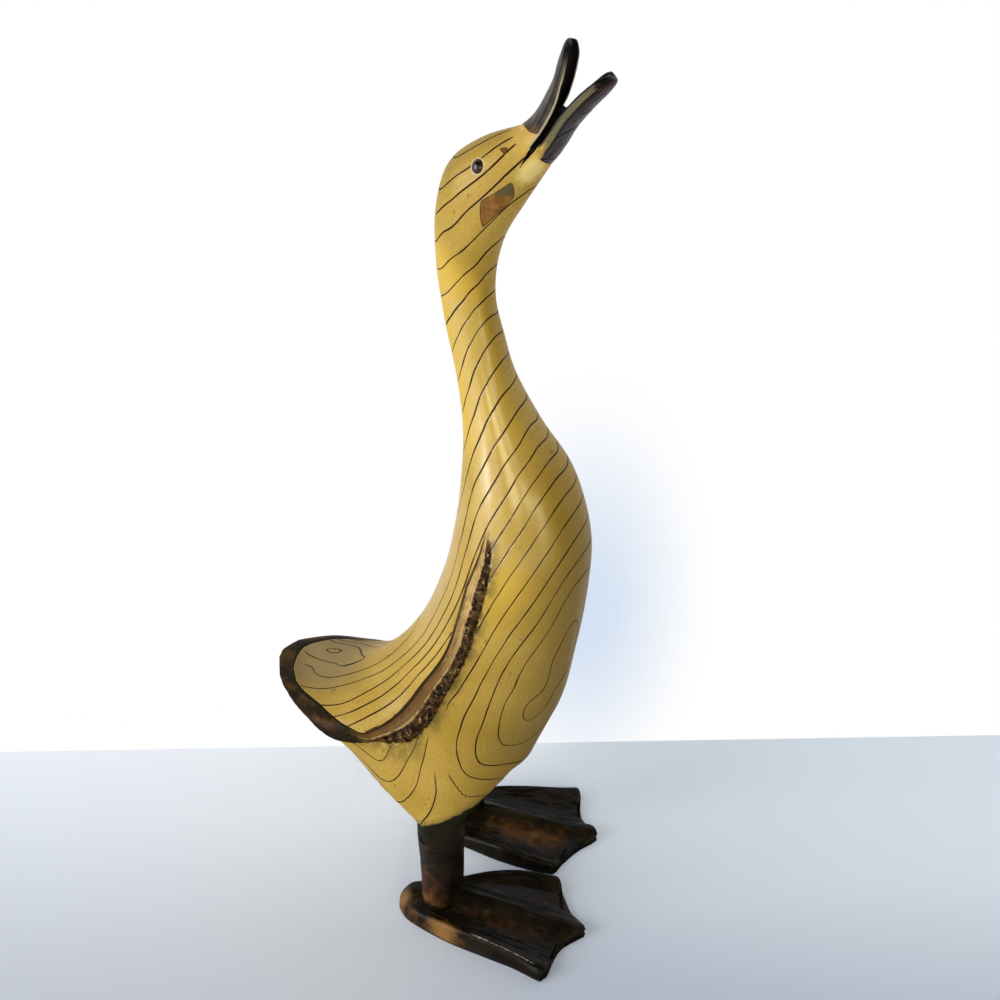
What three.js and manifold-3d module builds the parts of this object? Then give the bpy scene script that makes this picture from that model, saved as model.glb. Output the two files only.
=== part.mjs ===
// A standing wooden duck with its bill open, about half a metre tall.
// Millimetres, +Z up, +X out of the breast, +Y to the duck's left.
// While it is drawn, x = 0 is the line of the two heels and z = 0 the floor.
import * as THREE from "three";
import { mergeVertices } from "three/addons/utils/BufferGeometryUtils.js";
import Module from "manifold-3d";

const wasm = await Module();
wasm.setup();

// Fits
const gap = 0.3; // between any two pieces
const degree = Math.PI / 180;

// Overall heights
const hipZ = 63; // flat foot of each thigh, above the floor
const headRise = 374; // nape of the neck, above the hips

// The body block: head, neck, trunk and tail are carved from one piece of root wood.
// Each station is a slice through the block, from the bill end back to the tail end:
// back x, back z, front x, front z, half width, dish (0 an oval, above 0.5 a hollow back)
// z counts from the nape for the head and from the hips for the trunk
const headStations = [
  [69, 42, 85, 25, 11, 0],
  [49, 34.5, 71.5, 4, 16, 0],
  [33, 22, 61.5, -13, 17.5, 0],
  [26, 0, 56.5, -31, 16, 0],
  [25.5, -27, 56, -49, 15, 0],
];
const trunkStations = [
  [29.5, 316, 60, 307, 16.5, 0],
  [35.5, 284, 67, 283, 20, 0.02],
  [38.5, 255, 82, 254, 28, 0.05],
  [37.5, 227, 99, 227, 38, 0.1],
  [33.5, 196, 108.5, 193, 45, 0.12],
  [26, 164, 108.5, 162, 48.5, 0.16],
  [12, 131, 103, 121, 46, 0.12],
  [-10, 105, 92, 74, 43, 0.2],
  [-38, 90, 63, 29, 43.5, 0.42],
  [-58, 84, 5, 26, 39.4, 0.5],
  [-68.2, 84.5, -46, 55, 27.4, 0.5],
  [-74.4, 85.6, -69.2, 77.4, 14.2, 0.3],
  [-76.6, 85.8, -75.6, 83.4, 4, 0.1],
];
const bodyRows = 60;
const frontColumns = 10; // from the middle of the breast to the wing edge, on each side
const backColumns = 7; // from the wing edge to the middle of the back

// The wing edge: a step that starts from nothing at the shoulder and runs round the tail
const wingStart = 8.7; // station where it starts
const wingFull = 12.5; // station from which it has its full height
const wingStep = 7; // full height of the step
const wingAngleStart = 105; // degrees from the middle of the breast
const wingAngleEnd = 90;
const wingAngleStation = 14.5; // station where the last angle is reached
const wingBand = 16; // breadth of the bevelled edge, in degrees
const wingLip = 1.2; // half the breadth of the step's face, in degrees
const tailSkew = 0.3; // the tail end is cut askew by this slope
const tailSkewFrom = 10; // x where the skew starts
const tailSkewTo = -70; // x where it is full

// The left wing edge hangs lower than the right one
const leftWingDrop = 13;
const leftWingNarrow = 0.12; // share taken off its width
const leftWingFrom = 9.15; // stations where the drop starts, is full and ends
const leftWingAt = 11.8;
const leftWingTo = 13.66;

// The head looks a little to the duck's right
const headTurn = -9; // degrees
const neckAxis = 41; // x of the line it turns about
const turnFrom = -107; // below the nape
const turnTo = 3;

// Legs and the thighs drawn down to meet them
const legX = 28;
const rightLegY = 38;
const leftLegY = 44;
const legY = (side) => (side > 0 ? leftLegY : rightLegY);
const legTopRadius = 14.2;
const legMidRadius = 12.8;
const legFootRadius = 13;
const thighDrop = 73;
const thighFlareX = 10.8; // reach of the thigh past the leg, fore and aft
const thighFlareY = 3.3; // the same sideways
const thighSpread = 13; // how far the thighs swell sideways
const thighFrom = 117; // above the hips
const thighTo = 45;
const thighRadius = 14.3; // at the flat foot of the thigh
const thighConeZ = 17; // above the hips, where it starts to widen
const thighCone = 1.15; // how fast it widens
const thighConeFrom = 47; // above the hips, where the cone takes over
const thighConeTo = 33;
// Swellings of the haunch and of the belly: centre, reach and push, y outwards, z from the hips
const swellings = [
  { at: [-8, 34, 37], reach: [22, 24, 16], push: [-7, -1, -3] },
  { at: [68, 30, 39], reach: [20, 24, 18], push: [6, 0, -4] },
];
const hipDowelRadius = 4;
const hipDowelBelow = 22; // length in the leg
const hipDowelAbove = 26; // length in the thigh

// Feet, measured from the axis of the leg, y outwards
const footStations = [
  // along the foot: inner edge x, inner edge y, outer edge x, outer edge y
  [-28.5, -2, -28.5, -1.6],
  [-25, -11, -25, 5.5],
  [-14, -18.5, -17, 13],
  [9.5, -24.3, 6, 25],
  [31, -30, 28, 33],
  [52, -33, 50, 40.5],
  [71, -33, 70, 48],
];
const footFront = [
  // across the front edge, from the inner toe to the outer toe
  [71, -33],
  [71.5, -25],
  [74, -18.5],
  [79.5, -7],
  [88, 4],
  [88.5, 9],
  [82.5, 14.5],
  [76.5, 20.5],
  [73, 28.5],
  [71, 37.5],
  [70, 48],
];
const leftFootTurn = 7.5; // degrees the left foot is turned in
const footRows = 14;
const footColumns = 16;
const footAnkleHeight = 15.5;
const footHeelHeight = 6;
const footTipHeight = 3.5;
const innerShoulder = 0.62; // share by which the instep falls to its inner and outer sides
const outerShoulder = 0.38;
const toeRidge = 5.5; // rise of the three toes above the web
const pocketDepth = 6.5; // how far the leg is let into the foot
const ankleZ = footAnkleHeight - pocketDepth;
const screwRadius = 2;
const screwHeadRadius = 4.6;
const screwHeadHeight = 3;
const screwStop = 6; // wood left in the leg between the screw and the dowel
const screwTop = hipZ - hipDowelBelow - screwStop;
const screwTip = 6; // length of the point
const screwSink = 0.6; // head below the sole

// Bill, drawn in the plane of the turned head with z from the nape:
// ridge x, ridge z, edge x, edge z, half width, hollow (share of the depth)
const upperBill = [
  [75.6, 47.8, 82.2, 42.2, 11.6, 0.25],
  [81, 56.8, 88.4, 53.6, 12.4, 0.5],
  [85.3, 65.5, 91.5, 63.6, 12.8, 0.55],
  [87.9, 75, 93.7, 73.4, 11.4, 0.5],
  [89.9, 81.2, 94.2, 79.2, 7.4, 0.4],
  [91.6, 83.4, 93.9, 82.2, 3, 0.2],
];
const lowerBill = [
  [89.4, 30.4, 85, 38, 11, 0.3],
  [97.4, 43.4, 92, 48.4, 11.8, 0.5],
  [104.6, 52.2, 99.6, 57, 11.8, 0.55],
  [110.8, 59.6, 106.6, 63.6, 10.4, 0.5],
  [114, 64.2, 111.4, 66.8, 6.6, 0.4],
  [114.8, 66.2, 113.6, 67.6, 2.8, 0.2],
];
const upperBillShare = 0.47; // lower edge of the upper bill, down the face
const lowerBillShare = 0.6; // where the lower bill begins
const gapeX = 72.5; // corner of the mouth
const gapeZ = 25;
const billInset = 0.6; // the bill's root is this much narrower than the face
const billLip = 1.2; // flat edge of the bill
const billRows = 14;
const billColumns = 10;
const billPegRadius = 1.9;
const billPegIn = 10; // length in the head
const billPegOut = 6; // length in the bill

// Eyes
const eyeStation = 1.18;
const eyeAngle = 119; // degrees from the throat
const eyeRadius = 3.5;
const eyeStem = 4.5;
const eyeDome = 2.1;

const roundSegments = 20;

function smooth(value, from, to) {
  const t = Math.min(Math.max((value - from) / (to - from), 0), 1);
  return t * t * (3 - 2 * t);
}

// A smooth curve through the rows of a table, read at row number s
function along(rows, s) {
  const last = rows.length - 1;
  const i = Math.min(Math.floor(s), last - 1);
  const f = s - i;
  const b = rows[i];
  const c = rows[i + 1];
  const a = i > 0 ? rows[i - 1] : b.map((x, n) => 2 * x - c[n]);
  const d = i + 2 <= last ? rows[i + 2] : c.map((x, n) => 2 * x - b[n]);
  return b.map((x, n) => {
    const slope = c[n] - a[n];
    const bend = 2 * a[n] - 5 * x + 4 * c[n] - d[n];
    const twist = 3 * x - a[n] - 3 * c[n] + d[n];
    return x + 0.5 * f * (slope + f * (bend + f * twist));
  });
}

// The tables with z counted from the floor
const napeZ = hipZ + headRise;
const lift = (rows, z) => rows.map((r) => [r[0], r[1] + z, r[2], r[3] + z, ...r.slice(4)]);
const stations = [...lift(headStations, napeZ), ...lift(trunkStations, hipZ)];
const lastStation = stations.length - 1;

function makeGeometry(points, triangles) {
  const geometry = new THREE.BufferGeometry();
  const flat = points.flatMap((p) => [p.x, p.y, p.z]);
  geometry.setAttribute("position", new THREE.Float32BufferAttribute(flat, 3));
  geometry.setIndex(triangles.flat());
  return geometry;
}

// Skin over rings of points, closed at both ends
function loft(rings) {
  const count = rings[0].length;
  const points = rings.flat();
  const triangles = [];
  for (let i = 0; i + 1 < rings.length; i++) {
    for (let j = 0; j < count; j++) {
      const k = (j + 1) % count;
      const a = i * count + j;
      const b = i * count + k;
      triangles.push([a, b, b + count]);
      triangles.push([a, b + count, a + count]);
    }
  }
  const ends = [
    [0, true],
    [rings.length - 1, false],
  ];
  for (const [row, first] of ends) {
    const middle = new THREE.Vector3();
    rings[row].forEach((p) => middle.addScaledVector(p, 1 / count));
    const hub = points.push(middle) - 1;
    for (let j = 0; j < count; j++) {
      const a = row * count + j;
      const b = row * count + ((j + 1) % count);
      triangles.push(first ? [hub, b, a] : [hub, a, b]);
    }
  }
  return makeGeometry(points, triangles);
}

function solid(geometry) {
  const bare = geometry.clone();
  bare.deleteAttribute("normal");
  bare.deleteAttribute("uv");
  const merged = mergeVertices(bare, 1e-4);
  const vertProperties = Float32Array.from(merged.attributes.position.array);
  const triVerts = Uint32Array.from(merged.index.array);
  return new wasm.Manifold(new wasm.Mesh({ numProp: 3, vertProperties, triVerts }));
}

function cutAll(geometry, tools) {
  let result = solid(geometry);
  for (const tool of tools) {
    result = result.subtract(solid(tool));
  }
  const mesh = result.getMesh();
  const cut = new THREE.BufferGeometry();
  cut.setAttribute("position", new THREE.BufferAttribute(Float32Array.from(mesh.vertProperties), 3));
  cut.setIndex(new THREE.BufferAttribute(Uint32Array.from(mesh.triVerts), 1));
  return cut;
}

// A turned piece: profile of [radius, height], standing along the direction given
function turned(profile, from, direction) {
  const shape = profile.map(([r, h]) => new THREE.Vector2(r, h));
  const geometry = new THREE.LatheGeometry(shape, roundSegments);
  const up = new THREE.Vector3(0, 1, 0);
  const turn = new THREE.Quaternion().setFromUnitVectors(up, direction.clone().normalize());
  geometry.applyQuaternion(turn);
  geometry.translate(from.x, from.y, from.z);
  return geometry;
}

function rod(radius, length, from, direction) {
  const profile = [
    [0, 0],
    [radius, 0],
    [radius, length],
    [0, length],
  ];
  return turned(profile, from, direction);
}

const upward = new THREE.Vector3(0, 0, 1);

// Head frame to drawing frame
function turnHead(p, share) {
  const angle = headTurn * degree * share;
  const x = p.x - neckAxis;
  const c = Math.cos(angle);
  const s = Math.sin(angle);
  return new THREE.Vector3(neckAxis + x * c - p.y * s, x * s + p.y * c, p.z);
}

function wingAngle(s) {
  const t = Math.min(Math.max((s - wingStart) / (wingAngleStation - wingStart), 0), 1);
  return (wingAngleStart + (wingAngleEnd - wingAngleStart) * t) * degree;
}

// A point of the body: station s, angle v from the middle of the breast,
// out = 1 on the wing and back, 0 on the flank below the wing edge
function bodyPoint(s, v, out) {
  const [backX, backZ, frontX, frontZ, width, dish] = along(stations, s);
  const step = wingStep * smooth(s, wingStart, wingFull) * out;
  const t = (1 - Math.cos(v) + dish * Math.sin(v) ** 2) / 2;
  let y = (width + step) * Math.sin(v);
  const side = Math.sign(y);
  let x = frontX + (backX - frontX) * t;
  let z = frontZ + (backZ - frontZ) * t;
  x -= tailSkew * y * smooth(-x, -tailSkewFrom, -tailSkewTo);
  const acrossX = (x - legX) / (legTopRadius + thighFlareX);
  const acrossY = (Math.abs(y) - legY(side)) / (legTopRadius + thighFlareY);
  const low = 1 - smooth(z - hipZ, thighTo, thighFrom);
  const pull = Math.exp(-acrossX * acrossX - acrossY * acrossY) * low;
  z -= thighDrop * pull;
  y += side * thighSpread * pull;
  for (const { at, reach, push } of swellings) {
    const from = [x - at[0], side * y - at[1], z - hipZ - at[2]];
    const far = from.reduce((sum, d, i) => sum + (d / reach[i]) ** 2, 0);
    const share = Math.exp(-far) * smooth(Math.abs(y), 0, 12);
    x += push[0] * share;
    y += side * push[1] * share;
    z += push[2] * share;
  }
  const fromX = x - legX;
  const fromY = side * y - legY(side);
  const radius = Math.hypot(fromX, fromY) + 1e-9;
  const cone = thighRadius + thighCone * Math.max(z - hipZ - thighConeZ, 0);
  const grip = (1 - smooth(z - hipZ, thighConeTo, thighConeFrom)) * smooth(Math.abs(y), 8, 22);
  const squeeze = 1 + grip * (Math.min(radius, cone) / radius - 1);
  if (side !== 0) {
    x = legX + fromX * squeeze;
    y = side * (legY(side) + fromY * squeeze);
  }
  if (v > 0) {
    const rise = smooth(s, leftWingFrom, leftWingAt) * (1 - smooth(s, leftWingAt, leftWingTo));
    const hang = rise * smooth(v, 1.2, 1.85) * Math.sin(v);
    z -= leftWingDrop * hang;
    y *= 1 - leftWingNarrow * hang;
  }
  return turnHead(new THREE.Vector3(x, y, z), smooth(z - napeZ, turnFrom, turnTo));
}

// Angles round half a slice, each with its side of the wing edge
function halfSlice(s) {
  const edge = wingAngle(s);
  const lip = wingLip * degree;
  const band = (2 + wingBand * smooth(s, wingStart, wingFull)) * degree;
  const list = [];
  for (let j = 0; j <= frontColumns; j++) {
    list.push([((edge - lip) * j) / frontColumns, 0]);
  }
  list.push([edge + lip, 1]);
  list.push([edge + band, 1]);
  for (let j = 1; j <= backColumns; j++) {
    list.push([edge + band + ((Math.PI - edge - band) * j) / backColumns, 1]);
  }
  return list;
}

function bodyRing(s) {
  const half = halfSlice(s);
  const left = half.map(([v, out]) => bodyPoint(s, v, out));
  const right = half.slice(1, -1).map(([v, out]) => bodyPoint(s, -v, out));
  return left.concat(right.reverse());
}

// The face of the head, where the two halves of the bill are pegged on
const faceTop = new THREE.Vector3(stations[0][0], 0, stations[0][1]);
const faceLow = new THREE.Vector3(stations[0][2], 0, stations[0][3]);
const faceDown = faceLow.clone().sub(faceTop);
const faceOut = new THREE.Vector3(-faceDown.z, 0, faceDown.x).normalize();
const facePoint = (share) => faceTop.clone().addScaledVector(faceDown, share);
const turnPoint = (p) => turnHead(p, 1);
const faceOutTurned = turnPoint(faceOut.clone().add(new THREE.Vector3(neckAxis, 0, 0)))
  .sub(new THREE.Vector3(neckAxis, 0, 0));

function billRing(row) {
  const [ridgeX, ridgeZ, edgeX, edgeZ, width, hollow] = row;
  const ring = [];
  const put = (share, y) => {
    const x = ridgeX + (edgeX - ridgeX) * share;
    const z = ridgeZ + (edgeZ - ridgeZ) * share;
    ring.push(turnPoint(new THREE.Vector3(x, y, z)));
  };
  for (let j = 0; j <= billColumns; j++) {
    const a = Math.PI * (j / billColumns - 0.5);
    put(1 - Math.cos(a), width * Math.sin(a));
  }
  const inside = Math.max(width - billLip, width * 0.6);
  for (let j = 0; j <= billColumns; j++) {
    const a = Math.PI * (0.5 - j / billColumns);
    put(1 - hollow * Math.cos(a), inside * Math.sin(a));
  }
  return ring;
}

function billShape(root, rows) {
  const table = [root, ...lift(rows, napeZ)];
  const rings = [];
  for (let i = 0; i <= billRows; i++) {
    rings.push(billRing(along(table, ((table.length - 1) * i) / billRows)));
  }
  return loft(rings);
}

const seat = (share) => facePoint(share).addScaledVector(faceOut, gap);
const upperTop = seat(0.01);
const upperEdge = seat(upperBillShare);
const lowerTop = seat(lowerBillShare);
const lowerKeel = seat(0.99);
const faceWidth = stations[0][4];
const rootWidth = faceWidth - billInset;
const upperRoot = [upperTop.x, upperTop.z, upperEdge.x, upperEdge.z, rootWidth, 0.02];
const lowerRoot = [lowerKeel.x, lowerKeel.z, lowerTop.x, lowerTop.z, rootWidth, 0.02];

function flip(geometry) {
  const index = geometry.index.array;
  for (let i = 0; i < index.length; i += 3) {
    const keep = index[i];
    index[i] = index[i + 1];
    index[i + 1] = keep;
  }
  return geometry;
}

// Pegs of the bill: half in the head, half in the bill
const pegShares = { upper: upperBillShare / 2, lower: (lowerBillShare + 1) / 2 };

function pegHole(share) {
  const start = turnPoint(facePoint(share)).addScaledVector(faceOutTurned, -billPegIn - gap);
  return rod(billPegRadius + gap, billPegIn + billPegOut + 2 * gap, start, faceOutTurned);
}

function pegShape(share) {
  const start = turnPoint(facePoint(share)).addScaledVector(faceOutTurned, -billPegIn);
  return rod(billPegRadius, billPegIn + billPegOut, start, faceOutTurned);
}

// Eye seats follow the surface of the head
function eyeFrame(side) {
  const v = side * eyeAngle * degree;
  const at = bodyPoint(eyeStation, v, 0);
  const alongHead = bodyPoint(eyeStation + 0.05, v, 0).sub(at);
  const aroundHead = bodyPoint(eyeStation, v + 0.05, 0).sub(at);
  const out = alongHead.cross(aroundHead).normalize();
  if (out.y * side < 0) {
    out.negate();
  }
  return { at, out };
}

function eyeShape(side) {
  const { at, out } = eyeFrame(side);
  const profile = [
    [0, -eyeStem],
    [eyeRadius, -eyeStem],
    [eyeRadius, 0],
  ];
  for (let j = 1; j <= 5; j++) {
    const a = (j / 5) * (Math.PI / 2);
    profile.push([j < 5 ? eyeRadius * Math.cos(a) : 0, eyeDome * Math.sin(a)]);
  }
  return turned(profile, at, out);
}

function eyeHole(side) {
  const { at, out } = eyeFrame(side);
  const start = at.clone().addScaledVector(out, -eyeStem - gap);
  return rod(eyeRadius + gap, eyeStem + 10, start, out);
}

// The mouth is sawn a little way into the head, from the face to its corner
function mouthCut() {
  const corner = new THREE.Vector2(gapeX, napeZ + gapeZ);
  const lips = [upperBillShare, lowerBillShare].map((share) => facePoint(share));
  const reach = lips.map((p) => new THREE.Vector2(p.x, p.z).sub(corner).multiplyScalar(1.5).add(corner));
  const shape = new THREE.Shape([corner, reach[1], reach[0]]);
  const depth = 4 * faceWidth;
  const geometry = new THREE.ExtrudeGeometry(shape, { depth, bevelEnabled: false });
  geometry.rotateX(Math.PI / 2);
  geometry.translate(-neckAxis, depth / 2, 0);
  geometry.rotateZ(headTurn * degree);
  geometry.translate(neckAxis, 0, 0);
  return geometry;
}

function hipDowelHole(side) {
  const start = new THREE.Vector3(legX, side * legY(side), hipZ - 1);
  return rod(hipDowelRadius + gap, hipDowelAbove + gap + 1, start, upward);
}

function bodyShape() {
  const rings = [];
  for (let i = 0; i <= bodyRows; i++) {
    rings.push(bodyRing((lastStation * i) / bodyRows));
  }
  const below = new THREE.BoxGeometry(400, 400, 200);
  below.translate(0, 0, hipZ - 100);
  const tools = [below, mouthCut()];
  tools.push(pegHole(pegShares.upper), pegHole(pegShares.lower));
  for (const side of [1, -1]) {
    tools.push(eyeHole(side), hipDowelHole(side));
  }
  return cutAll(flip(loft(rings)), tools);
}

function legShape(side) {
  const foot = ankleZ + gap;
  const top = hipZ - gap;
  const dowelBore = hipDowelRadius + gap;
  const screwBore = screwRadius + gap;
  const profile = [
    [0, screwTop + gap],
    [screwBore, screwTop + gap],
    [screwBore, foot],
    [legFootRadius, foot],
    [legMidRadius, foot + (top - foot) * 0.35],
    [legMidRadius * 1.03, foot + (top - foot) * 0.7],
    [legTopRadius, top],
    [dowelBore, top],
    [dowelBore, hipZ - hipDowelBelow - gap],
    [0, hipZ - hipDowelBelow - gap],
  ];
  return turned(profile, new THREE.Vector3(legX, side * legY(side), 0), upward);
}

function hipDowelShape(side) {
  const start = new THREE.Vector3(legX, side * legY(side), hipZ - hipDowelBelow);
  return rod(hipDowelRadius, hipDowelBelow + hipDowelAbove, start, upward);
}

// Height of the top of the foot: s from heel to front edge, t from inner to outer toe
function footTop(s, t) {
  const rise = smooth(s, 0, 0.32);
  const fall = smooth(s, 0.4, 1);
  const web = footHeelHeight + (footAnkleHeight - footHeelHeight) * rise;
  const low = web + (footTipHeight - web) * fall;
  const ridge = ((1 + Math.cos(4 * Math.PI * t)) / 2) ** 1.5;
  const edge = smooth(Math.min(t, 1 - t), 0, 0.4);
  const drop = innerShoulder + (outerShoulder - innerShoulder) * t;
  const shoulder = 1 - drop * (1 - edge) * (1 - smooth(s, 0.5, 0.9));
  return low * shoulder + toeRidge * ridge * smooth(s, 0.3, 0.62);
}

function footPlan(s, t) {
  const last = footStations.length - 1;
  const [innerX, innerY, outerX, outerY] = along(footStations, s * last);
  const [tipX, tipY, farX, farY] = footStations[last];
  const [frontX, frontY] = along(footFront, t * (footFront.length - 1));
  const bulge = smooth(s, 0.45, 1);
  const x = innerX + (outerX - innerX) * t + bulge * (frontX - tipX - (farX - tipX) * t);
  const y = innerY + (outerY - innerY) * t + bulge * (frontY - tipY - (farY - tipY) * t);
  return [x, y];
}

function footShape(side) {
  const points = [];
  const triangles = [];
  const across = footColumns + 1;
  for (const isTop of [true, false]) {
    for (let i = 0; i <= footRows; i++) {
      const s = 0.04 + (0.96 * i) / footRows;
      for (let j = 0; j < across; j++) {
        const [x, y] = footPlan(s, j / footColumns);
        const z = isTop ? footTop(s, j / footColumns) : 0;
        const turn = side > 0 ? leftFootTurn * degree : 0;
        const alongX = x * Math.cos(turn) + y * Math.sin(turn);
        const acrossY = y * Math.cos(turn) - x * Math.sin(turn);
        points.push(new THREE.Vector3(legX + alongX, side * (legY(side) + acrossY), z));
      }
    }
  }
  const under = (footRows + 1) * across;
  const quad = (a, b, c, d) => triangles.push([a, b, c], [a, c, d]);
  for (let i = 0; i < footRows; i++) {
    for (let j = 0; j < footColumns; j++) {
      const a = i * across + j;
      quad(a, a + across, a + across + 1, a + 1);
      quad(under + a, under + a + 1, under + a + across + 1, under + a + across);
    }
    const inner = i * across;
    const outer = inner + footColumns;
    quad(inner, under + inner, under + inner + across, inner + across);
    quad(outer, outer + across, under + outer + across, under + outer);
  }
  for (let j = 0; j < footColumns; j++) {
    const front = footRows * across + j;
    quad(j, j + 1, under + j + 1, under + j);
    quad(front, under + front, under + front + 1, front + 1);
  }
  const geometry = makeGeometry(points, triangles);
  if (side < 0) {
    flip(geometry);
  }
  const axis = new THREE.Vector3(legX, side * legY(side), 0);
  const pocket = rod(legFootRadius + gap, 40, axis.clone().setZ(ankleZ), upward);
  const head = screwSink + screwHeadHeight;
  const bore = turned(
    [
      [0, -1],
      [screwHeadRadius + gap, -1],
      [screwHeadRadius + gap, screwSink],
      [screwRadius + gap, head],
      [screwRadius + gap, ankleZ + 1],
      [0, ankleZ + 1],
    ],
    axis,
    upward,
  );
  return cutAll(geometry, [pocket, bore]);
}

function screwShape(side) {
  const head = screwSink + screwHeadHeight;
  const profile = [
    [0, screwSink],
    [screwHeadRadius, screwSink],
    [screwRadius, head],
    [screwRadius, screwTop - screwTip],
    [0, screwTop],
  ];
  return turned(profile, new THREE.Vector3(legX, side * legY(side), 0), upward);
}

const colours = {
  lacqueredWood: new THREE.MeshStandardMaterial({ color: 0xc39a45, roughness: 0.32, metalness: 0 }),
  billStain: new THREE.MeshStandardMaterial({ color: 0x3a3432, roughness: 0.4, metalness: 0 }),
  footStain: new THREE.MeshStandardMaterial({ color: 0x38271a, roughness: 0.38, metalness: 0 }),
  bareWood: new THREE.MeshStandardMaterial({ color: 0xc9a878, roughness: 0.7, metalness: 0 }),
  glass: new THREE.MeshStandardMaterial({ color: 0x120b08, roughness: 0.05, metalness: 0 }),
  steel: new THREE.MeshStandardMaterial({ color: 0x9a9a98, roughness: 0.35, metalness: 1 }),
};

const pieces = [];

function addPiece(name, geometry, material) {
  const mesh = new THREE.Mesh(geometry, material);
  mesh.name = name;
  pieces.push(mesh);
}

addPiece("body", bodyShape(), colours.lacqueredWood);
const upperHole = pegHole(pegShares.upper);
const lowerHole = pegHole(pegShares.lower);
addPiece("upper_bill", cutAll(flip(billShape(upperRoot, upperBill)), [upperHole]), colours.billStain);
addPiece("lower_bill", cutAll(billShape(lowerRoot, lowerBill), [lowerHole]), colours.billStain);
addPiece("upper_bill_peg", pegShape(pegShares.upper), colours.bareWood);
addPiece("lower_bill_peg", pegShape(pegShares.lower), colours.bareWood);
for (const [word, side] of [
  ["left", 1],
  ["right", -1],
]) {
  addPiece(`${word}_eye`, eyeShape(side), colours.glass);
  addPiece(`${word}_leg`, legShape(side), colours.footStain);
  addPiece(`${word}_foot`, footShape(side), colours.footStain);
  addPiece(`${word}_hip_dowel`, hipDowelShape(side), colours.bareWood);
  addPiece(`${word}_foot_screw`, screwShape(side), colours.steel);
}

// The finished part stands on z = 0 with the middle of its box over the origin
const box = new THREE.Box3();
pieces.forEach((mesh) => box.expandByObject(mesh));
const middle = box.getCenter(new THREE.Vector3());
const duck = new THREE.Group();
duck.name = "duck_figurine";
duck.add(...pieces);
duck.position.set(-middle.x, -middle.y, -box.min.z);

export default duck;
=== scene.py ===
import itertools
import math
import bpy
import numpy as np
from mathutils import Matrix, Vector


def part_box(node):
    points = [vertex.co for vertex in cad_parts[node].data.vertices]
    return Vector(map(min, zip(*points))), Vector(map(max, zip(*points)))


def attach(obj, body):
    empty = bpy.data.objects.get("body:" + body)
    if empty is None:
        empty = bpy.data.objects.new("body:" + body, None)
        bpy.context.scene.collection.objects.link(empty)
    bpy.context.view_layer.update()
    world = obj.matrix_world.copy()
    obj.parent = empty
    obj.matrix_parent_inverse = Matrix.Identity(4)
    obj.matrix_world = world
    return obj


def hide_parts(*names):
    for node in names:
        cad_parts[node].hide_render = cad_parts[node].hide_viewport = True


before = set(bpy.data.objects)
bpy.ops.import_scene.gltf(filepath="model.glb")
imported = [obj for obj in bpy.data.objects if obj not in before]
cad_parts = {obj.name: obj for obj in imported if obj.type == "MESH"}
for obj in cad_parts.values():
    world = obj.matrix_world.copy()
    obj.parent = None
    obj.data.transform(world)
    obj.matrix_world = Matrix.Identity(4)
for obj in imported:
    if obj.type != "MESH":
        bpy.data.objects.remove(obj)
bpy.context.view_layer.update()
scene = bpy.context.scene
scene.view_settings.view_transform = "Standard"

# The shapes are worked out in millimetres with x = 0 at the heels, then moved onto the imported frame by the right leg:
# the legs' axes lie at this x, and so far from the middle
legPlace = {"x": 28.0, "right": 38.0, "left": 44.0}
legLow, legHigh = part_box("right_leg")
heelShift = legPlace["x"] - 500.0 * (legLow.x + legHigh.x)
sideShift = -legPlace["right"] - 500.0 * (legLow.y + legHigh.y)


# From millimetres to the frame's metres
def toFrame(points):
    return (np.asarray(points, float) - (heelShift, sideShift, 0.0)) / 1000.0


# Distance of a leg from the middle, for the left side or the right one
def legAside(isLeft):
    return np.where(isLeft, legPlace["left"], legPlace["right"])


# A smooth step: 0 up to the start, 1 from the end on
def smooth(value, start, end):
    t = np.clip((np.asarray(value, float) - start) / (end - start), 0.0, 1.0)
    return t * t * (3.0 - 2.0 * t)


# A smooth step up and a smooth step down again
def between(value, rise, risen, fall, fallen):
    return smooth(value, rise, risen) * (1.0 - smooth(value, fall, fallen))


# A bell curve: 1 at the centre, 1/e at the width
def bell(value, centre, width):
    return np.exp(-((value - centre) / width) ** 2)


# Catmull-Rom weights of the four values round a position between the second and the third
def curveWeights(f):
    return (-0.5 * f + f ** 2 - 0.5 * f ** 3, 1.0 - 2.5 * f ** 2 + 1.5 * f ** 3,
            0.5 * f + 2.0 * f ** 2 - 1.5 * f ** 3, -0.5 * f ** 2 + 0.5 * f ** 3)


# A smooth curve through the rows of a table, read at row number s, the ends carried on straight
def along(table, s):
    table = np.asarray(table, float)
    padded = np.vstack([2.0 * table[0] - table[1], table, 2.0 * table[-1] - table[-2]])
    s = np.clip(np.asarray(s, float), 0.0, len(table) - 1.0)
    i = np.minimum(np.floor(s).astype(int), len(table) - 2)
    weights = curveWeights((s - i)[..., None])
    return sum(w * padded[i + k] for k, w in enumerate(weights))


# The same across the columns of rows already read; the first and the last column may be mirror lines
def across(values, c, mirrorFirst, mirrorLast=True):
    last = values.shape[-1] - 1
    c = np.clip(c, 0.0, last)
    i = np.minimum(np.floor(c).astype(int), last - 1)
    weights = curveWeights(c - i)
    take = lambda k: np.take_along_axis(values, k[..., None], -1)[..., 0]
    total = 0.0
    for k, w in enumerate(weights):
        j = i + k - 1
        inside = take(np.where(j > last, 2 * last - j, np.abs(j)))
        if not mirrorFirst:
            inside = np.where(j < 0, 2.0 * take(np.zeros_like(j)) - take(np.ones_like(j)), inside)
        if not mirrorLast:
            inside = np.where(j > last, 2.0 * take(np.full_like(j, last)) - take(np.full_like(j, last - 1)), inside)
        total = total + w * inside
    return total


latticeSize = 32
lattice = np.random.default_rng(11).random((latticeSize, latticeSize, latticeSize))


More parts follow.
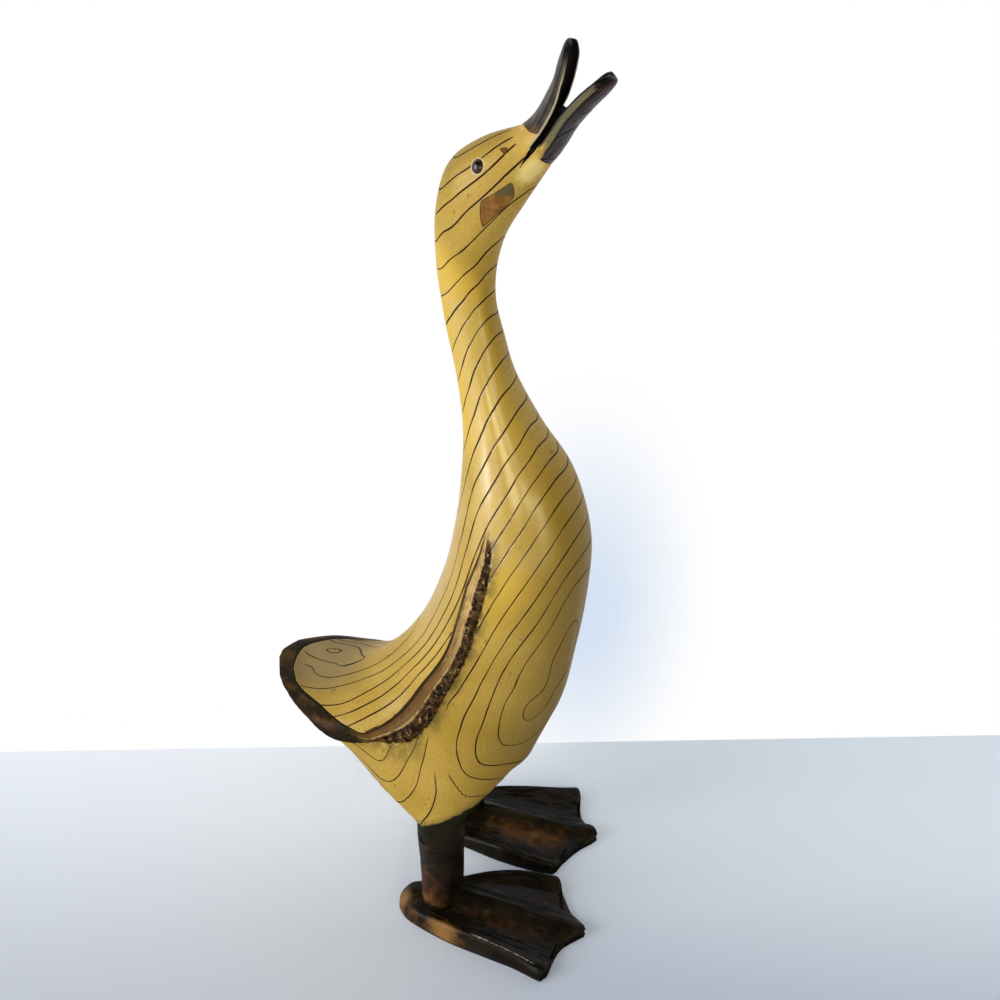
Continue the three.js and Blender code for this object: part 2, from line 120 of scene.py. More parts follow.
# Value noise from 0 to 1: seeded random numbers on a cubic lattice of that size in mm, joined by smooth steps
def lumps(points, size):
    p = np.asarray(points, float) / size
    i = np.floor(p).astype(int)
    f = (p - i) ** 2 * (3.0 - 2.0 * (p - i))
    total = 0.0
    for corner in itertools.product((0, 1), repeat=3):
        place = (i + corner) % latticeSize
        weights = np.abs(1 - np.array(corner) - f)
        total = total + weights[..., 0] * weights[..., 1] * weights[..., 2] * lattice[tuple(np.moveaxis(place, -1, 0))]
    return total


# Mesh object from points in mm, with point attributes and creased edges
def makePiece(name, points, faces, material, nodes, values=None, creased=None):
    faces = np.asarray(faces)
    mesh = bpy.data.meshes.new(name)
    mesh.vertices.add(len(points))
    mesh.vertices.foreach_set("co", toFrame(points).astype(np.float32).ravel())
    mesh.loops.add(faces.size)
    mesh.loops.foreach_set("vertex_index", faces.astype(np.int32).ravel())
    mesh.polygons.add(len(faces))
    mesh.polygons.foreach_set("loop_start", np.arange(0, faces.size, faces.shape[1], dtype=np.int32))
    mesh.update(calc_edges=True)
    mesh.polygons.foreach_set("use_smooth", np.ones(len(faces), bool))
    for key, value in (values or {}).items():
        mesh.attributes.new(key, "FLOAT", "POINT").data.foreach_set("value", np.asarray(value, np.float32))
    if creased is not None:
        ends = np.zeros(len(mesh.edges) * 2, np.int32)
        mesh.edges.foreach_get("vertices", ends)
        hard = creased[ends.reshape(-1, 2)].all(1)
        mesh.attributes.new("sharp_edge", "BOOLEAN", "EDGE").data.foreach_set("value", hard)
    mesh.validate()
    piece = bpy.data.objects.new(name, mesh)
    scene.collection.objects.link(piece)
    mesh.materials.append(material)
    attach(piece, "root")
    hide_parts(*nodes)
    print(name, len(points), "points", len(faces), "faces")


# Area-weighted point normals of a triangle mesh
def pointNormals(points, triangles):
    a, b, c = (points[triangles[:, k]] for k in range(3))
    flat = np.cross(b - a, c - a)
    total = np.zeros_like(points)
    for k in range(3):
        for axis in range(3):
            total[:, axis] += np.bincount(triangles[:, k], flat[:, axis], len(points))
    return total / np.maximum(np.linalg.norm(total, axis=1), 1e-12)[:, None]


# Cuts each triangle where a carried field crosses a level, so that the level becomes a line of edges
def splitAt(points, triangles, field, level):
    d = points[:, field] - level
    d = np.where(np.abs(d) < 1e-7, 1e-7, d)
    above = d > 0
    count = above[triangles].sum(1)
    crossed = (count == 1) | (count == 2)
    if not crossed.any():
        return points, triangles
    t = triangles[crossed]
    lone = (above[t] == (count[crossed] == 1)[:, None]).argmax(1)
    row = np.arange(len(t))
    a, b, c = t[row, lone], t[row, (lone + 1) % 3], t[row, (lone + 2) % 3]
    ends = np.sort(np.stack([np.concatenate([a, a]), np.concatenate([b, c])], 1), axis=1).astype(np.int64)
    keys, back = np.unique(ends[:, 0] * len(points) + ends[:, 1], return_inverse=True)
    low, high = keys // len(points), keys % len(points)
    share = (d[low] / (d[low] - d[high]))[:, None]
    fresh = points[low] + share * (points[high] - points[low])
    fresh[:, field] = level
    index = len(points) + back
    p, q = index[:len(t)], index[len(t):]
    made = np.concatenate([np.stack([a, p, q], 1), np.stack([p, b, c], 1), np.stack([p, c, q], 1)])
    return np.vstack([points, fresh]), np.vstack([triangles[~crossed], made])


# A fan of triangles from a rim to a new point
def addFan(points, rim, centre):
    points = np.vstack([points, centre])
    return points, np.stack([rim, np.roll(rim, -1), np.full_like(rim, len(points) - 1)], 1)


# Triangles of a grid of rows and columns
def gridTriangles(rows, columns):
    index = np.arange(rows * columns).reshape(rows, columns)
    a, b, c, d = (part.ravel() for part in (index[:-1, :-1], index[:-1, 1:], index[1:, 1:], index[1:, :-1]))
    return np.concatenate([np.stack([a, b, c], 1), np.stack([a, c, d], 1)])


bodyForm = {
    "hipZ": 63.0,
    "napeZ": 437.0,
    # back x, back z, front x, front z, half width, dish of the back
    "headStations": [[69, 42, 85, 25, 11, 0], [49, 34.5, 71.5, 4, 16, 0], [33, 22, 61.5, -13, 17.5, 0],
                     [26, 0, 56.5, -31, 16, 0], [25.5, -27, 56, -49, 15, 0]],
    "trunkStations": [[29.5, 316, 60, 307, 16.5, 0], [35.5, 284, 67, 283, 20, 0.02], [38.5, 255, 82, 254, 28, 0.05],
                      [37.5, 227, 99, 227, 38, 0.1], [33.5, 196, 108.5, 193, 45, 0.12],
                      [26, 164, 108.5, 162, 48.5, 0.16], [12, 131, 103, 121, 46, 0.12],
                      [-10, 105, 92, 74, 43, 0.2], [-38, 90, 63, 29, 43.5, 0.42], [-58, 84, 5, 26, 39.4, 0.5],
                      [-68.2, 84.5, -46, 55, 27.4, 0.5], [-74.4, 85.6, -69.2, 77.4, 14.2, 0.3],
                      [-76.6, 85.8, -75.6, 83.4, 4, 0.1]],
    "wingStep": 7.0, "wingStart": 8.7, "wingFull": 12.5, "wingLip": 1.2,
    # lower and upper edge of the bark: station, degrees from the middle of the breast
    "barkLow": [[8.4, 106], [8.7, 102.5], [9.3, 100.7], [10, 100], [10.6, 101.5], [11.2, 101.5], [11.7, 101],
                [12.1, 102], [12.4, 100.5], [12.75, 96.5], [13.1, 94], [13.5, 92.5], [14.2, 91], [17, 90]],
    "barkHigh": [[8.4, 107], [8.75, 112], [9.25, 118], [9.54, 121], [10, 120.3], [10.5, 120], [11.16, 121.5],
                 [11.65, 122], [11.93, 121], [12.13, 118.9], [12.37, 114.9], [12.61, 110.4], [12.87, 105.8],
                 [13, 106.5], [13.11, 111], [13.29, 118], [13.45, 127.5], [13.68, 139], [14, 148], [14.38, 154.5],
                 [14.77, 162], [14.88, 173], [15, 190], [17, 200]],
    # the same on the left side, where the rim is narrow
    "leftHigh": [[8.4, 107], [8.75, 112], [9.25, 118], [9.54, 121], [10.5, 120], [11.5, 121.5], [12.2, 130],
                 [12.75, 137], [13.06, 134.5], [13.35, 136.4], [13.7, 141], [14, 143], [14.24, 146.5], [14.48, 153.6],
                 [14.71, 162.8], [14.88, 173], [15, 190], [17, 200]],
    "tailSkew": 0.3, "skewFrom": (-10.0, 70.0), "headTurn": -9.0, "neckAxis": 41.0, "turnRise": (-107.0, 3.0),
    # the left wing edge hangs lower: drop, share of the width, stations where it starts, is full and ends
    "leftDrop": 13.0, "leftNarrow": 0.12, "leftAlong": (9.15, 11.8, 11.8, 13.66), "leftRound": (1.2, 1.85),
    # the thighs are drawn down over the legs: reach in x and y, drop, spread, heights over the hip where it ends
    "thighReach": (25.0, 17.5), "thighDrop": 73.0, "thighSpread": 13.0, "thighRise": (45.0, 117.0),
    # fuller haunch and belly: centre, reach and push, none in the middle of the belly
    "swellings": [[(-8, 34, 100), (22, 24, 16), (-7, -1, -3)], [(68, 30, 102), (20, 24, 18), (6, 0, -4)]],
    "swellAside": (0.0, 12.0),
    # the cone round the top of the leg: radius, height it starts from, slope, and where it fades
    "legTop": 14.3, "thighFrom": 80.0, "thighSlope": 1.15, "postRise": (68.0, 92.0), "coneRise": (96.0, 110.0),
    "coneAside": (8.0, 22.0),
    "rows": 270, "columns": (36, 3, 14, 18),
}
hipZ, napeZ = bodyForm["hipZ"], bodyForm["napeZ"]
stations = np.array(bodyForm["headStations"] + bodyForm["trunkStations"], float)
stations[:5, [1, 3]] += napeZ
stations[5:, [1, 3]] += hipZ
lastStation = len(stations) - 1.0
barkLow = lambda s: np.radians(np.interp(s, *np.array(bodyForm["barkLow"]).T))
barkHigh = lambda s, side: np.radians(np.interp(s, *np.array(bodyForm["leftHigh" if side > 0 else "barkHigh"]).T))


# Turns points of the head about the neck's axis by the share given
def turnHead(x, y, z, share):
    angle = np.radians(bodyForm["headTurn"]) * share
    dx = x - bodyForm["neckAxis"]
    return np.stack([bodyForm["neckAxis"] + dx * np.cos(angle) - y * np.sin(angle),
                     dx * np.sin(angle) + y * np.cos(angle), z], -1)


# Station s along the bird and angle v round it: an oval between the back and front points of the station,
# widened above the wing edge, skewed at the tail, drawn down over the legs and turned at the head
def bodySurface(s, v):
    backX, backZ, frontX, frontZ, width, dish = np.moveaxis(along(stations, s), -1, 0)
    lip = np.radians(bodyForm["wingLip"])
    over = np.clip((np.abs(v) - barkLow(s)) / (2.0 * lip), 0.0, 1.0)
    step = bodyForm["wingStep"] * smooth(s, bodyForm["wingStart"], bodyForm["wingFull"]) * over
    t = (1.0 - np.cos(v) + dish * np.sin(v) ** 2) / 2.0
    y = (width + step) * np.sin(v)
    x = frontX + (backX - frontX) * t
    z = frontZ + (backZ - frontZ) * t
    x = x - bodyForm["tailSkew"] * y * smooth(-x, *bodyForm["skewFrom"])
    reachX, reachY = bodyForm["thighReach"]
    side = np.where(y < 0.0, -1.0, 1.0)
    legY = legAside(side > 0)
    pull = np.exp(-((x - legPlace["x"]) / reachX) ** 2 - ((np.abs(y) - legY) / reachY) ** 2)
    pull = pull * (1.0 - smooth(z - hipZ, *bodyForm["thighRise"]))
    z = z - bodyForm["thighDrop"] * pull
    y = y + np.sign(y) * bodyForm["thighSpread"] * pull
    for centre, spread, shove in bodyForm["swellings"]:
        full = np.exp(-((x - centre[0]) / spread[0]) ** 2 - ((side * y - centre[1]) / spread[1]) ** 2
                      - ((z - centre[2]) / spread[2]) ** 2) * smooth(np.abs(y), *bodyForm["swellAside"])
        x, y, z = x + shove[0] * full, y + side * shove[1] * full, z + shove[2] * full
    # the thigh narrows as a cone to the leg, and is nowhere thinner than it
    fromX, fromY = x - legPlace["x"], side * y - legY
    radius = np.hypot(fromX, fromY) + 1e-9
    cone = bodyForm["legTop"] + bodyForm["thighSlope"] * np.maximum(z - bodyForm["thighFrom"], 0.0)
    post = bodyForm["legTop"] * (1.0 - smooth(z, *bodyForm["postRise"]))
    share = (1.0 - smooth(z, *bodyForm["coneRise"])) * smooth(np.abs(y), *bodyForm["coneAside"])
    squeeze = 1.0 + share * (np.clip(radius, post, cone) / radius - 1.0)
    x, y = legPlace["x"] + fromX * squeeze, side * (legY + fromY * squeeze)
    hang = between(s, *bodyForm["leftAlong"]) * smooth(v, *bodyForm["leftRound"]) * np.maximum(np.sin(v), 0.0)
    y, z = y * (1.0 - bodyForm["leftNarrow"] * hang), z - bodyForm["leftDrop"] * hang
    return turnHead(x, y, z, smooth(z - napeZ, *bodyForm["turnRise"]))


# Grain lines lie where this number is whole: rows are stations, columns angles from the breast to the back
grainForm = {
    "main": [[0.71, 0.68, 0.44, -0.09, -0.88, -2.52, -3.05], [1.27, 1.12, 0.64, -0.34, -1.73, -2.92, -3.19],
             [2.01, 1.64, 0.82, -0.11, -1.47, -2.68, -2.82], [3.16, 2.86, 1.74, 0.7, -0.14, -1.06, -1.33],
             [4.47, 4.32, 3.54, 2.29, 1.31, 0.81, 0.68], [6.21, 6.14, 5.59, 4.61, 3.57, 2.93, 2.8],
             [8.05, 7.95, 7.61, 6.85, 5.77, 4.99, 4.79], [10.67, 10.66, 9.97, 9.09, 7.89, 6.68, 6.39],
             [13.85, 13.75, 12.8, 11.15, 9.61, 7.88, 7.51], [16.76, 16.48, 15.12, 13.3, 10.86, 8.48, 8.24],
             [18.47, 18.48, 16.55, 14.48, 11.79, 9.3, 8.81], [18.84, 19.15, 18.05, 15.35, 12.61, 10, 8.87],
             [18.23, 18.42, 17.2, 14.99, 12.57, 10.21, 8.92], [16.98, 16.64, 14.92, 13.18, 11.38, 9.15, 8.8],
             [14.87, 14.81, 13.66, 11.93, 10.41, 8.97, 8.96], [12.66, 12.68, 12.25, 11.47, 10.51, 9.91, 9.09],
             [11.63, 11.61, 11.51, 11.29, 10.83, 10.39, 10.11], [11.34, 11.17, 11.17, 11.32, 11.19, 11.06, 11.05]],
    # added above the wing edge, from a station on: columns from the edge to the middle of the back
    "capeFrom": 9.0, "capeEdge": (105.0, 90.0), "capeAlong": (8.7, 14.5),
    "cape": [[0, 0, 0, 0, 0], [0.3, -0.3, -0.57, -0.36, -0.26], [0.67, 0.25, -0.43, -1.04, -0.82],
             [0.94, 0.39, -0.22, -0.94, -1.66], [1.04, 0.29, 0.03, 0, -1.84], [0.48, 0.52, 0.62, 0.14, -0.84],
             [0.23, 0.15, -0.08, -0.57, -1.12], [0.06, 0.01, -0.06, -0.1, -0.05], [-0.02, 0.06, 0.14, 0.22, 0.25]],
    "leftCape": [[0, 0, 0, 0, 0], [0.25, 0.27, 0.17, -0.1, -0.26], [0.46, 0.49, 0.44, -0.08, -0.82],
                 [0.64, 0.45, 0.46, 0, -1.66], [0.85, 0.1, -1.02, -2.79, -1.84], [0.38, -1.59, -3.56, -2.05, -0.84],
                 [-0.07, -0.22, -0.11, -0.36, -1.12], [0.01, 0.13, 0.17, 0.03, -0.05], [0.05, 0.13, 0.2, 0.24, 0.25]],
    # added below the wing edge by place: rows upwards, columns forwards, from the first x and z in these steps of mm
    "flankFirst": (-45.0, 60.0), "flankStep": (20.0, 15.0), "flankTop": (160.0, 180.0), "flankBack": (-45.0, -30.0),
    "flank": [[0.31, 0.25, 0.16, -0.03, -0.32, -0.63, -0.88, -0.92, -0.8],
              [0.36, -0.04, -0.4, -0.48, -0.61, -1.18, -1.29, -1.08, -0.87],
              [0.41, -0.29, -1.02, -1.08, -1.02, -1.78, -1.39, -1.1, -1.03],
              [0.4, -0.73, -1.85, -1.5, -1.05, -0.96, -0.66, -1.03, -1.31],
              [0.23, -1.32, -2.51, -1.72, -0.46, 0.25, -0.17, -1.12, -1.46],
              [0.01, -1.31, -2.34, -2.11, 0.04, 0.44, 0.61, -0.56, -1.23],
              [-0.04, -0.78, -1.53, -2.14, 0.06, 0.24, 0.81, -0.1, -0.68],
              [-0.01, -0.15, -0.31, -0.32, 0.29, 0.04, 0.52, -0.01, -0.15],
              [0, 0.06, 0.11, 0.15, 0.08, 0.05, 0.29, 0.11, 0.02]],
    "halfWidth": 0.62, "depth": 0.45, "wobble": 0.05,
}


# The main table read at a station and an angle, and what cape or flank adds to it
def grainNumber(s, v):
    a = np.abs(v)
    number = across(along(grainForm["main"], s), a / np.pi * (len(grainForm["main"][0]) - 1.0), True)
    edge = np.radians(np.interp(s, grainForm["capeAlong"], grainForm["capeEdge"]))
    column = np.clip((a - edge) / (np.pi - edge), 0, 1) * (len(grainForm["cape"][0]) - 1.0)
    cape = [across(along(grainForm[key], s - grainForm["capeFrom"]), column, False) for key in ("leftCape", "cape")]
    cape = np.where(v > 0, cape[0], cape[1]) * (s > grainForm["capeFrom"])
    place = bodySurface(s, v)
    x, z = place[..., 0], place[..., 2]
    (firstX, firstZ), (stepX, stepZ) = grainForm["flankFirst"], grainForm["flankStep"]
    flank = across(along(grainForm["flank"], (z - firstZ) / stepZ), (x - firstX) / stepX, False, False)
    flank = flank * (1.0 - smooth(z, *grainForm["flankTop"])) * smooth(x, *grainForm["flankBack"])
    return number + np.where(a > barkLow(s), cape, flank)


# Steepness of the grain number per mm of the surface, from the surface's own metric
def grainSlope(s, v):
    h = 0.004
    slopes = lambda of: ((of(s + h, v) - of(s - h, v)) / (2 * h), (of(s, v + h) - of(s, v - h)) / (2 * h))
    (ps, pv), (gs, gv) = slopes(bodySurface), slopes(grainNumber)
    e, f, g = (ps * ps).sum(-1), (ps * pv).sum(-1), (pv * pv).sum(-1)
    square = (gs ** 2 * g - 2 * gs * gv * f + gv ** 2 * e) / np.maximum(e * g - f ** 2, 1e-6)
    return np.sqrt(np.maximum(square, 0.0))


# The mouth's corner on the side of the head, the way it opens, half its opening per mm, its depth and last station
mouthForm = {"corner": (72.5, 462.0), "way": (0.54, 0.84), "flare": 0.17, "depth": 2.4, "lastStation": 1.5}


# Distance out from the mouth's corner along the mouth, and across it, both in the head's own plane
def mouthPlace(points):
    a = np.radians(bodyForm["headTurn"])
    x = bodyForm["neckAxis"] + (points[:, 0] - bodyForm["neckAxis"]) * np.cos(a) + points[:, 1] * np.sin(a)
    dx, dz = x - mouthForm["corner"][0], points[:, 2] - mouthForm["corner"][1]
    wayX, wayZ = mouthForm["way"]
    return dx * wayX + dz * wayZ, dz * wayX - dx * wayZ


# Half of the body: station, angle, grain number and that number at both edges of a groove, place, mouth distances
def bodyHalf(side):
    fine = np.linspace(0.0, lastStation, 1701)
    walk = np.stack([bodySurface(fine, np.full_like(fine, a)) for a in (0.0, 1.57, 3.14)])
    length = np.linalg.norm(np.diff(walk, axis=1), axis=2).mean(0)
    length = np.concatenate([[0.0], np.cumsum(length)])
    s = np.interp(np.linspace(0.0, length[-1], bodyForm["rows"]), length, fine)[:, None]
    front, face, bark, back = bodyForm["columns"]
    lip = 2.0 * np.radians(bodyForm["wingLip"])
    low = barkLow(s)
    high = np.clip(barkHigh(s, side), low + lip + 0.02, np.radians(174.0))
    v = np.hstack([low * np.linspace(0, 1, front + 1), low + lip * np.linspace(0, 1, face + 1)[1:],
                   low + lip + (high - low - lip) * np.linspace(0, 1, bark + 1)[1:],
                   high + (np.pi - high) * np.linspace(0, 1, back + 1)[1:]])
    rows, columns = v.shape
    s = np.repeat(s, columns, 1).ravel()
    v = v.ravel()
    where = bodySurface(s, side * v)
    slope = np.clip(grainSlope(s, side * v), 0.01, 0.5)
    wobble = grainForm["wobble"] * np.minimum(slope / 0.06, 1.0) * (lumps(where, 9.0) - 0.5)
    number = grainNumber(s, side * v) + wobble
    if side > 0:  # the far side isn't a mirror image
        number = number + 0.4 * np.sin(v) ** 2 * np.sin(2.1 * s + 1.0) * (1 - smooth(s, 11.0, 12.0))
        number = number - 0.75 * between(v, 0.05, 0.5, 1.0, 1.5) * bell(s, 11.1, 1.3)
    half = np.minimum(grainForm["halfWidth"] * (0.8 + 0.4 * lumps(where, 14.0)) * slope, 0.2)
    centre = (v == 0.0) | (v == np.pi)
    number = np.where(centre, grainNumber(s, v), number)
    half = np.where(centre, grainForm["halfWidth"] * slope, half)
    points = np.stack([s, v, number, number - half, number + half], 1)
    triangles = gridTriangles(rows, columns)
    for field in (2, 3, 4):
        for level in range(math.ceil(points[:, field].min()), math.floor(points[:, field].max()) + 1):
            points, triangles = splitAt(points, triangles, field, float(level))
    where = bodySurface(points[:, 0], side * points[:, 1])
    out, over = mouthPlace(where)
    gape = mouthForm["flare"] * out
    points = np.hstack([points, where, np.stack([over, over - gape, over + gape], 1)])
    # the mouth is cut only round its own corner
    for field in (8, 9, 10):
        out, over = mouthPlace(points[:, 5:8])
        close = (out > -1.0) & (np.abs(over) < 6.0) & (points[:, 0] < mouthForm["lastStation"])
        close = close[triangles].all(1)
        points, cut = splitAt(points, triangles[close], field, 0.0)
        triangles = np.vstack([triangles[~close], cut])
    points, triangles = splitAt(points, triangles, 7, hipZ)  # the thigh ends flat where the leg begins
    triangles = triangles[points[triangles, 7].mean(1) > hipZ]
    rim = np.flatnonzero(points[:, 7] == hipZ)
    legY = side * legAside(side > 0)
    rim = rim[np.argsort(np.arctan2(points[rim, 6] - legY, points[rim, 5] - legPlace["x"]))]
    hub = points[rim].mean(0)
    hub[5:8] = legPlace["x"], legY, hipZ
    points, cap = addFan(points, rim, hub)
    triangles = np.vstack([triangles, cap[:, ::-1] if side > 0 else cap])
    if side > 0:
        triangles = triangles[:, ::-1]
    points[:, 1] *= side
    return points, triangles


leftPoints, leftTriangles = bodyHalf(1)
rightPoints, rightTriangles = bodyHalf(-1)
bodyPoints = np.vstack([leftPoints, rightPoints])
bodyTriangles = np.vstack([leftTriangles, rightTriangles + len(leftPoints)])
# weld the halves along the breast and the back
_, firstOf, weld = np.unique(np.round(bodyPoints[:, 5:8], 4) + 0.0, axis=0, return_index=True, return_inverse=True)
bodyPoints = bodyPoints[firstOf]
bodyTriangles = weld.ravel()[bodyTriangles]
t = bodyTriangles
bodyTriangles = t[(t[:, 0] != t[:, 1]) & (t[:, 1] != t[:, 2]) & (t[:, 2] != t[:, 0])]


# Closes an end ring of the body with a fan
def closeEnd(points, triangles, station):
    ring = np.flatnonzero(points[:, 0] == station)
    ring = ring[np.argsort(points[ring, 1])]
    points, fan = addFan(points, ring, points[ring].mean(0))
    return points, np.vstack([triangles, fan if station > 0 else fan[:, ::-1]])


for end in (0.0, lastStation):
    bodyPoints, bodyTriangles = closeEnd(bodyPoints, bodyTriangles, end)
print("body cut", len(bodyPoints), len(bodyTriangles))

reliefForm = {
    # stations where bark and tail begin, shares of the bark where its parts lie, radians per share outside of it
    "barkFrom": (8.38, 8.75), "tailFrom": (12.7, 13.3), "bark": (-0.12, 0.0, 0.98, 1.06), "rough": (0.36, 0.5),
    "bevel": (0.46, 0.7, 0.8, 1.0), "beyond": 0.2,
    # lump size and height of the crumbs, depth of the bevel, place, width and depth of its borders
    "crumbs": ((5.0, 1.7), (2.2, 1.6), (1.1, 0.9)), "bevelDepth": 1.1,
    "upperBorder": (0.98, 0.07), "lowerBorder": (0.45, 0.06), "upperDepth": 0.5, "lowerRise": 0.45,
    # lines run out on the middle of each thigh, its place and reach in x and z, and at the tail's end and far corner
    "quietAt": (31.2, 137.0), "quietReach": (8.5, 25.0), "tailEnd": 14.08, "tailLonger": 0.37, "tailFade": 0.22,
    "tailRound": (150.0, 175.0), "cornerFrom": (13.5, 13.7), "cornerRound": (150.0, 155.0),
}
station, angle, number = bodyPoints[:, 0], np.abs(bodyPoints[:, 1]), bodyPoints[:, 2]
degrees, leftSide = np.degrees(angle), bodyPoints[:, 1] > 0
where = bodyPoints[:, 5:8].copy()
normals = pointNormals(where, bodyTriangles)
# 0 at the lower edge of the bark, 1 at its upper edge
low, beyond = barkLow(station), reliefForm["beyond"]
high = np.where(leftSide, barkHigh(station, 1), barkHigh(station, -1))
bark = np.where(angle > high, 1.0 + (angle - high) / beyond, (angle - low) / (high - low))
bark = np.where(angle < low, (angle - low) / beyond, bark)
barkOn, tailShare = smooth(station, *reliefForm["barkFrom"]), smooth(station, *reliefForm["tailFrom"])
inBark = between(bark, *reliefForm["bark"]) * barkOn
halfLine = (bodyPoints[:, 4] - bodyPoints[:, 3]) / 2.0
onLine = np.clip(1.0 - np.abs(number - np.round(number)) / halfLine, 0.0, 1.0)
fade = 0.55 + 0.45 * smooth(lumps(where, 16.0) + 0.5 * lumps(where, 5.0), 0.45, 0.95)
quiet = np.linalg.norm((where[:, [0, 2]] - reliefForm["quietAt"]) / reliefForm["quietReach"], axis=1)
tailEnd = reliefForm["tailLonger"] * (1 - smooth(degrees, *reliefForm["tailRound"]))
tailEnd = reliefForm["tailEnd"] + np.where(leftSide, 0.0, tailEnd)
corner = leftSide * smooth(station, *reliefForm["cornerFrom"]) * (1 - smooth(degrees, *reliefForm["cornerRound"]))
fade = fade * smooth(quiet, 0.85, 1.1) * (1 - smooth(station, tailEnd, tailEnd + reliefForm["tailFade"])) * (1 - corner)
onLine = onLine * fade * (1 - smooth(inBark, 0.0, 0.6)) * smooth(station, 0.1, 0.3)
rough = inBark * (1 - smooth(bark, *reliefForm["rough"])) * (1 - 0.8 * tailShare)
crumbs = sum(height * (lumps(where, size) - 0.5) for size, height in reliefForm["crumbs"])
bevel = inBark * between(bark, *reliefForm["bevel"]) * (1 - tailShare)
ridge = reliefForm["lowerRise"] * bell(bark, *reliefForm["lowerBorder"]) * (1 - tailShare)
ridge = (ridge - reliefForm["upperDepth"] * bell(bark, *reliefForm["upperBorder"])) * barkOn
mouthOut, mouthOver = mouthPlace(where)
inMouth = np.clip(1.0 - np.abs(mouthOver) / np.maximum(mouthForm["flare"] * mouthOut, 0.01), 0.0, 1.0)
inMouth = inMouth * (mouthOut > 0) * (station < mouthForm["lastStation"])
mouthCut = inMouth * np.clip(0.35 * mouthOut, 0.0, mouthForm["depth"])
push = rough * crumbs - reliefForm["bevelDepth"] * bevel + ridge - grainForm["depth"] * onLine - mouthCut
where = where + normals * push[:, None]
where[:, 2] = np.where(bodyPoints[:, 7] <= hipZ, hipZ, where[:, 2])
borders = station == 0.0
for field in (3, 4):
    gap = bodyPoints[:, field]
    borders |= (np.abs(gap - np.round(gap)) < 1e-9) & (inBark < 0.3) & (station > 0.15)

# The helpers below add to the node tree at hand, link to the shader at hand and know the colours of the look at hand:
# first the shared speckle, then each material in turn
tree = bpy.data.node_groups.new("speckle", "ShaderNodeTree")


# A new node; its inputs, by name or number, take links or plain values
def addNode(kind, inputs=None, **settings):
    node = tree.nodes.new(kind)
    for key, value in settings.items():
        setattr(node, key, value)
    for key, value in (inputs or {}).items():
        if isinstance(value, bpy.types.NodeSocket):
            tree.links.new(value, node.inputs[key])
        else:
            node.inputs[key].default_value = value
    return node


# The first colour at share 0, the second at share 1, as links or by their names in the look
def mixColours(share, first, second):
    first, second = (look[tint] if isinstance(tint, str) else tint for tint in (first, second))
    return addNode("ShaderNodeMix", {0: share, 6: first, 7: second}, data_type="RGBA").outputs[2]


# A colour with others laid over it one by one, each by its own share
def layered(shade, *layers):
    for share, over in layers:
        shade = mixColours(share, shade, over)
    return shade


# The first number at share 0, the second at share 1
def mixNumbers(share, first, second):
    return addNode("ShaderNodeMix", {0: share, 2: first, 3: second}).outputs[0]


# Smooth step of a value from one level to another
def reach(value, start, end, first=0.0, second=1.0):
    inputs = {"Value": value, "From Min": start, "From Max": end, "To Min": first, "To Max": second}
    return addNode("ShaderNodeMapRange", inputs, interpolation_type="SMOOTHSTEP").outputs[0]


# One operation taken through all the values in turn
def sums(operation, total, *others):
    for other in others or (0.0,):
        total = addNode("ShaderNodeMath", {0: total, 1: other}, operation=operation).outputs[0]
    return total


# All the values multiplied
def product(*values):
    return sums("MULTIPLY", *values)


# One operation on vectors
def vectors(operation, *inputs):
    return addNode("ShaderNodeVectorMath", dict(enumerate(inputs)), operation=operation)


# A value shifted both ways by a noise
def frayed(value, noise, amount):
    return sums("ADD", value, product(sums("SUBTRACT", noise, 0.5), amount))


# 1 near a value, 0 beyond that distance from it
def near(value, centre, width):
    return reach(sums("ABSOLUTE", sums("SUBTRACT", value, centre)), width, width * 0.4)


# A value of the mesh's points by its name
def attribute(name):
    return addNode("ShaderNodeAttribute", attribute_name=name).outputs["Fac"]


# Place in the frame
def objectPlace():
    return addNode("ShaderNodeTexCoord").outputs["Object"]


speckleGroup = tree
for name, way in (("Scale", "INPUT"), ("Detail", "INPUT"), ("Value", "OUTPUT")):
    tree.interface.new_socket(name, in_out=way, socket_type="NodeSocketFloat")
groupIn, groupOut = addNode("NodeGroupInput"), addNode("NodeGroupOutput")
dots = {"Vector": objectPlace(), "Scale": groupIn.outputs[0], "Detail": groupIn.outputs[1]}
tree.links.new(addNode("ShaderNodeTexNoise", dots).outputs[0], groupOut.inputs[0])


# Noise through the solid, its grain size in metres
def speckle(size, detail=3.0):
    return addNode("ShaderNodeGroup", {0: 1.0 / size, 1: detail}, node_tree=speckleGroup).outputs[0]


# Noise drawn out along one attribute and fine across another
def streaks(alongValue, acrossValue, alongScale, acrossScale):
    place = {0: product(alongValue, alongScale), 1: product(acrossValue, acrossScale)}
    place = addNode("ShaderNodeCombineXYZ", place).outputs[0]
    return addNode("ShaderNodeTexNoise", {"Vector": place, "Scale": 1.0, "Detail": 3.0}).outputs[0]


# Linear colour from a screen's values of 0 to 255
def colour(*values):
    linear = [v / 255 / 12.92 if v < 10.31 else ((v / 255 + 0.055) / 1.055) ** 2.4 for v in values]
    return tuple(linear) + (1.0,)


# A look's colours by name
def colours(**values):
    return {name: colour(*value) for name, value in values.items()}


# A material, its tree and its shader with the four levels set
def newMaterial(name, *levels):
    material = bpy.data.materials.new(name)
    material.use_nodes = True
    shader = material.node_tree.nodes["Principled BSDF"]
    for key, level in zip(("Roughness", "Coat Weight", "Coat Roughness", "Specular IOR Level"), levels):
        shader.inputs[key].default_value = level
    return material, material.node_tree, shader


# Links a value into the shader at hand
def feed(key, value):
    tree.links.new(value, shader.inputs[key])


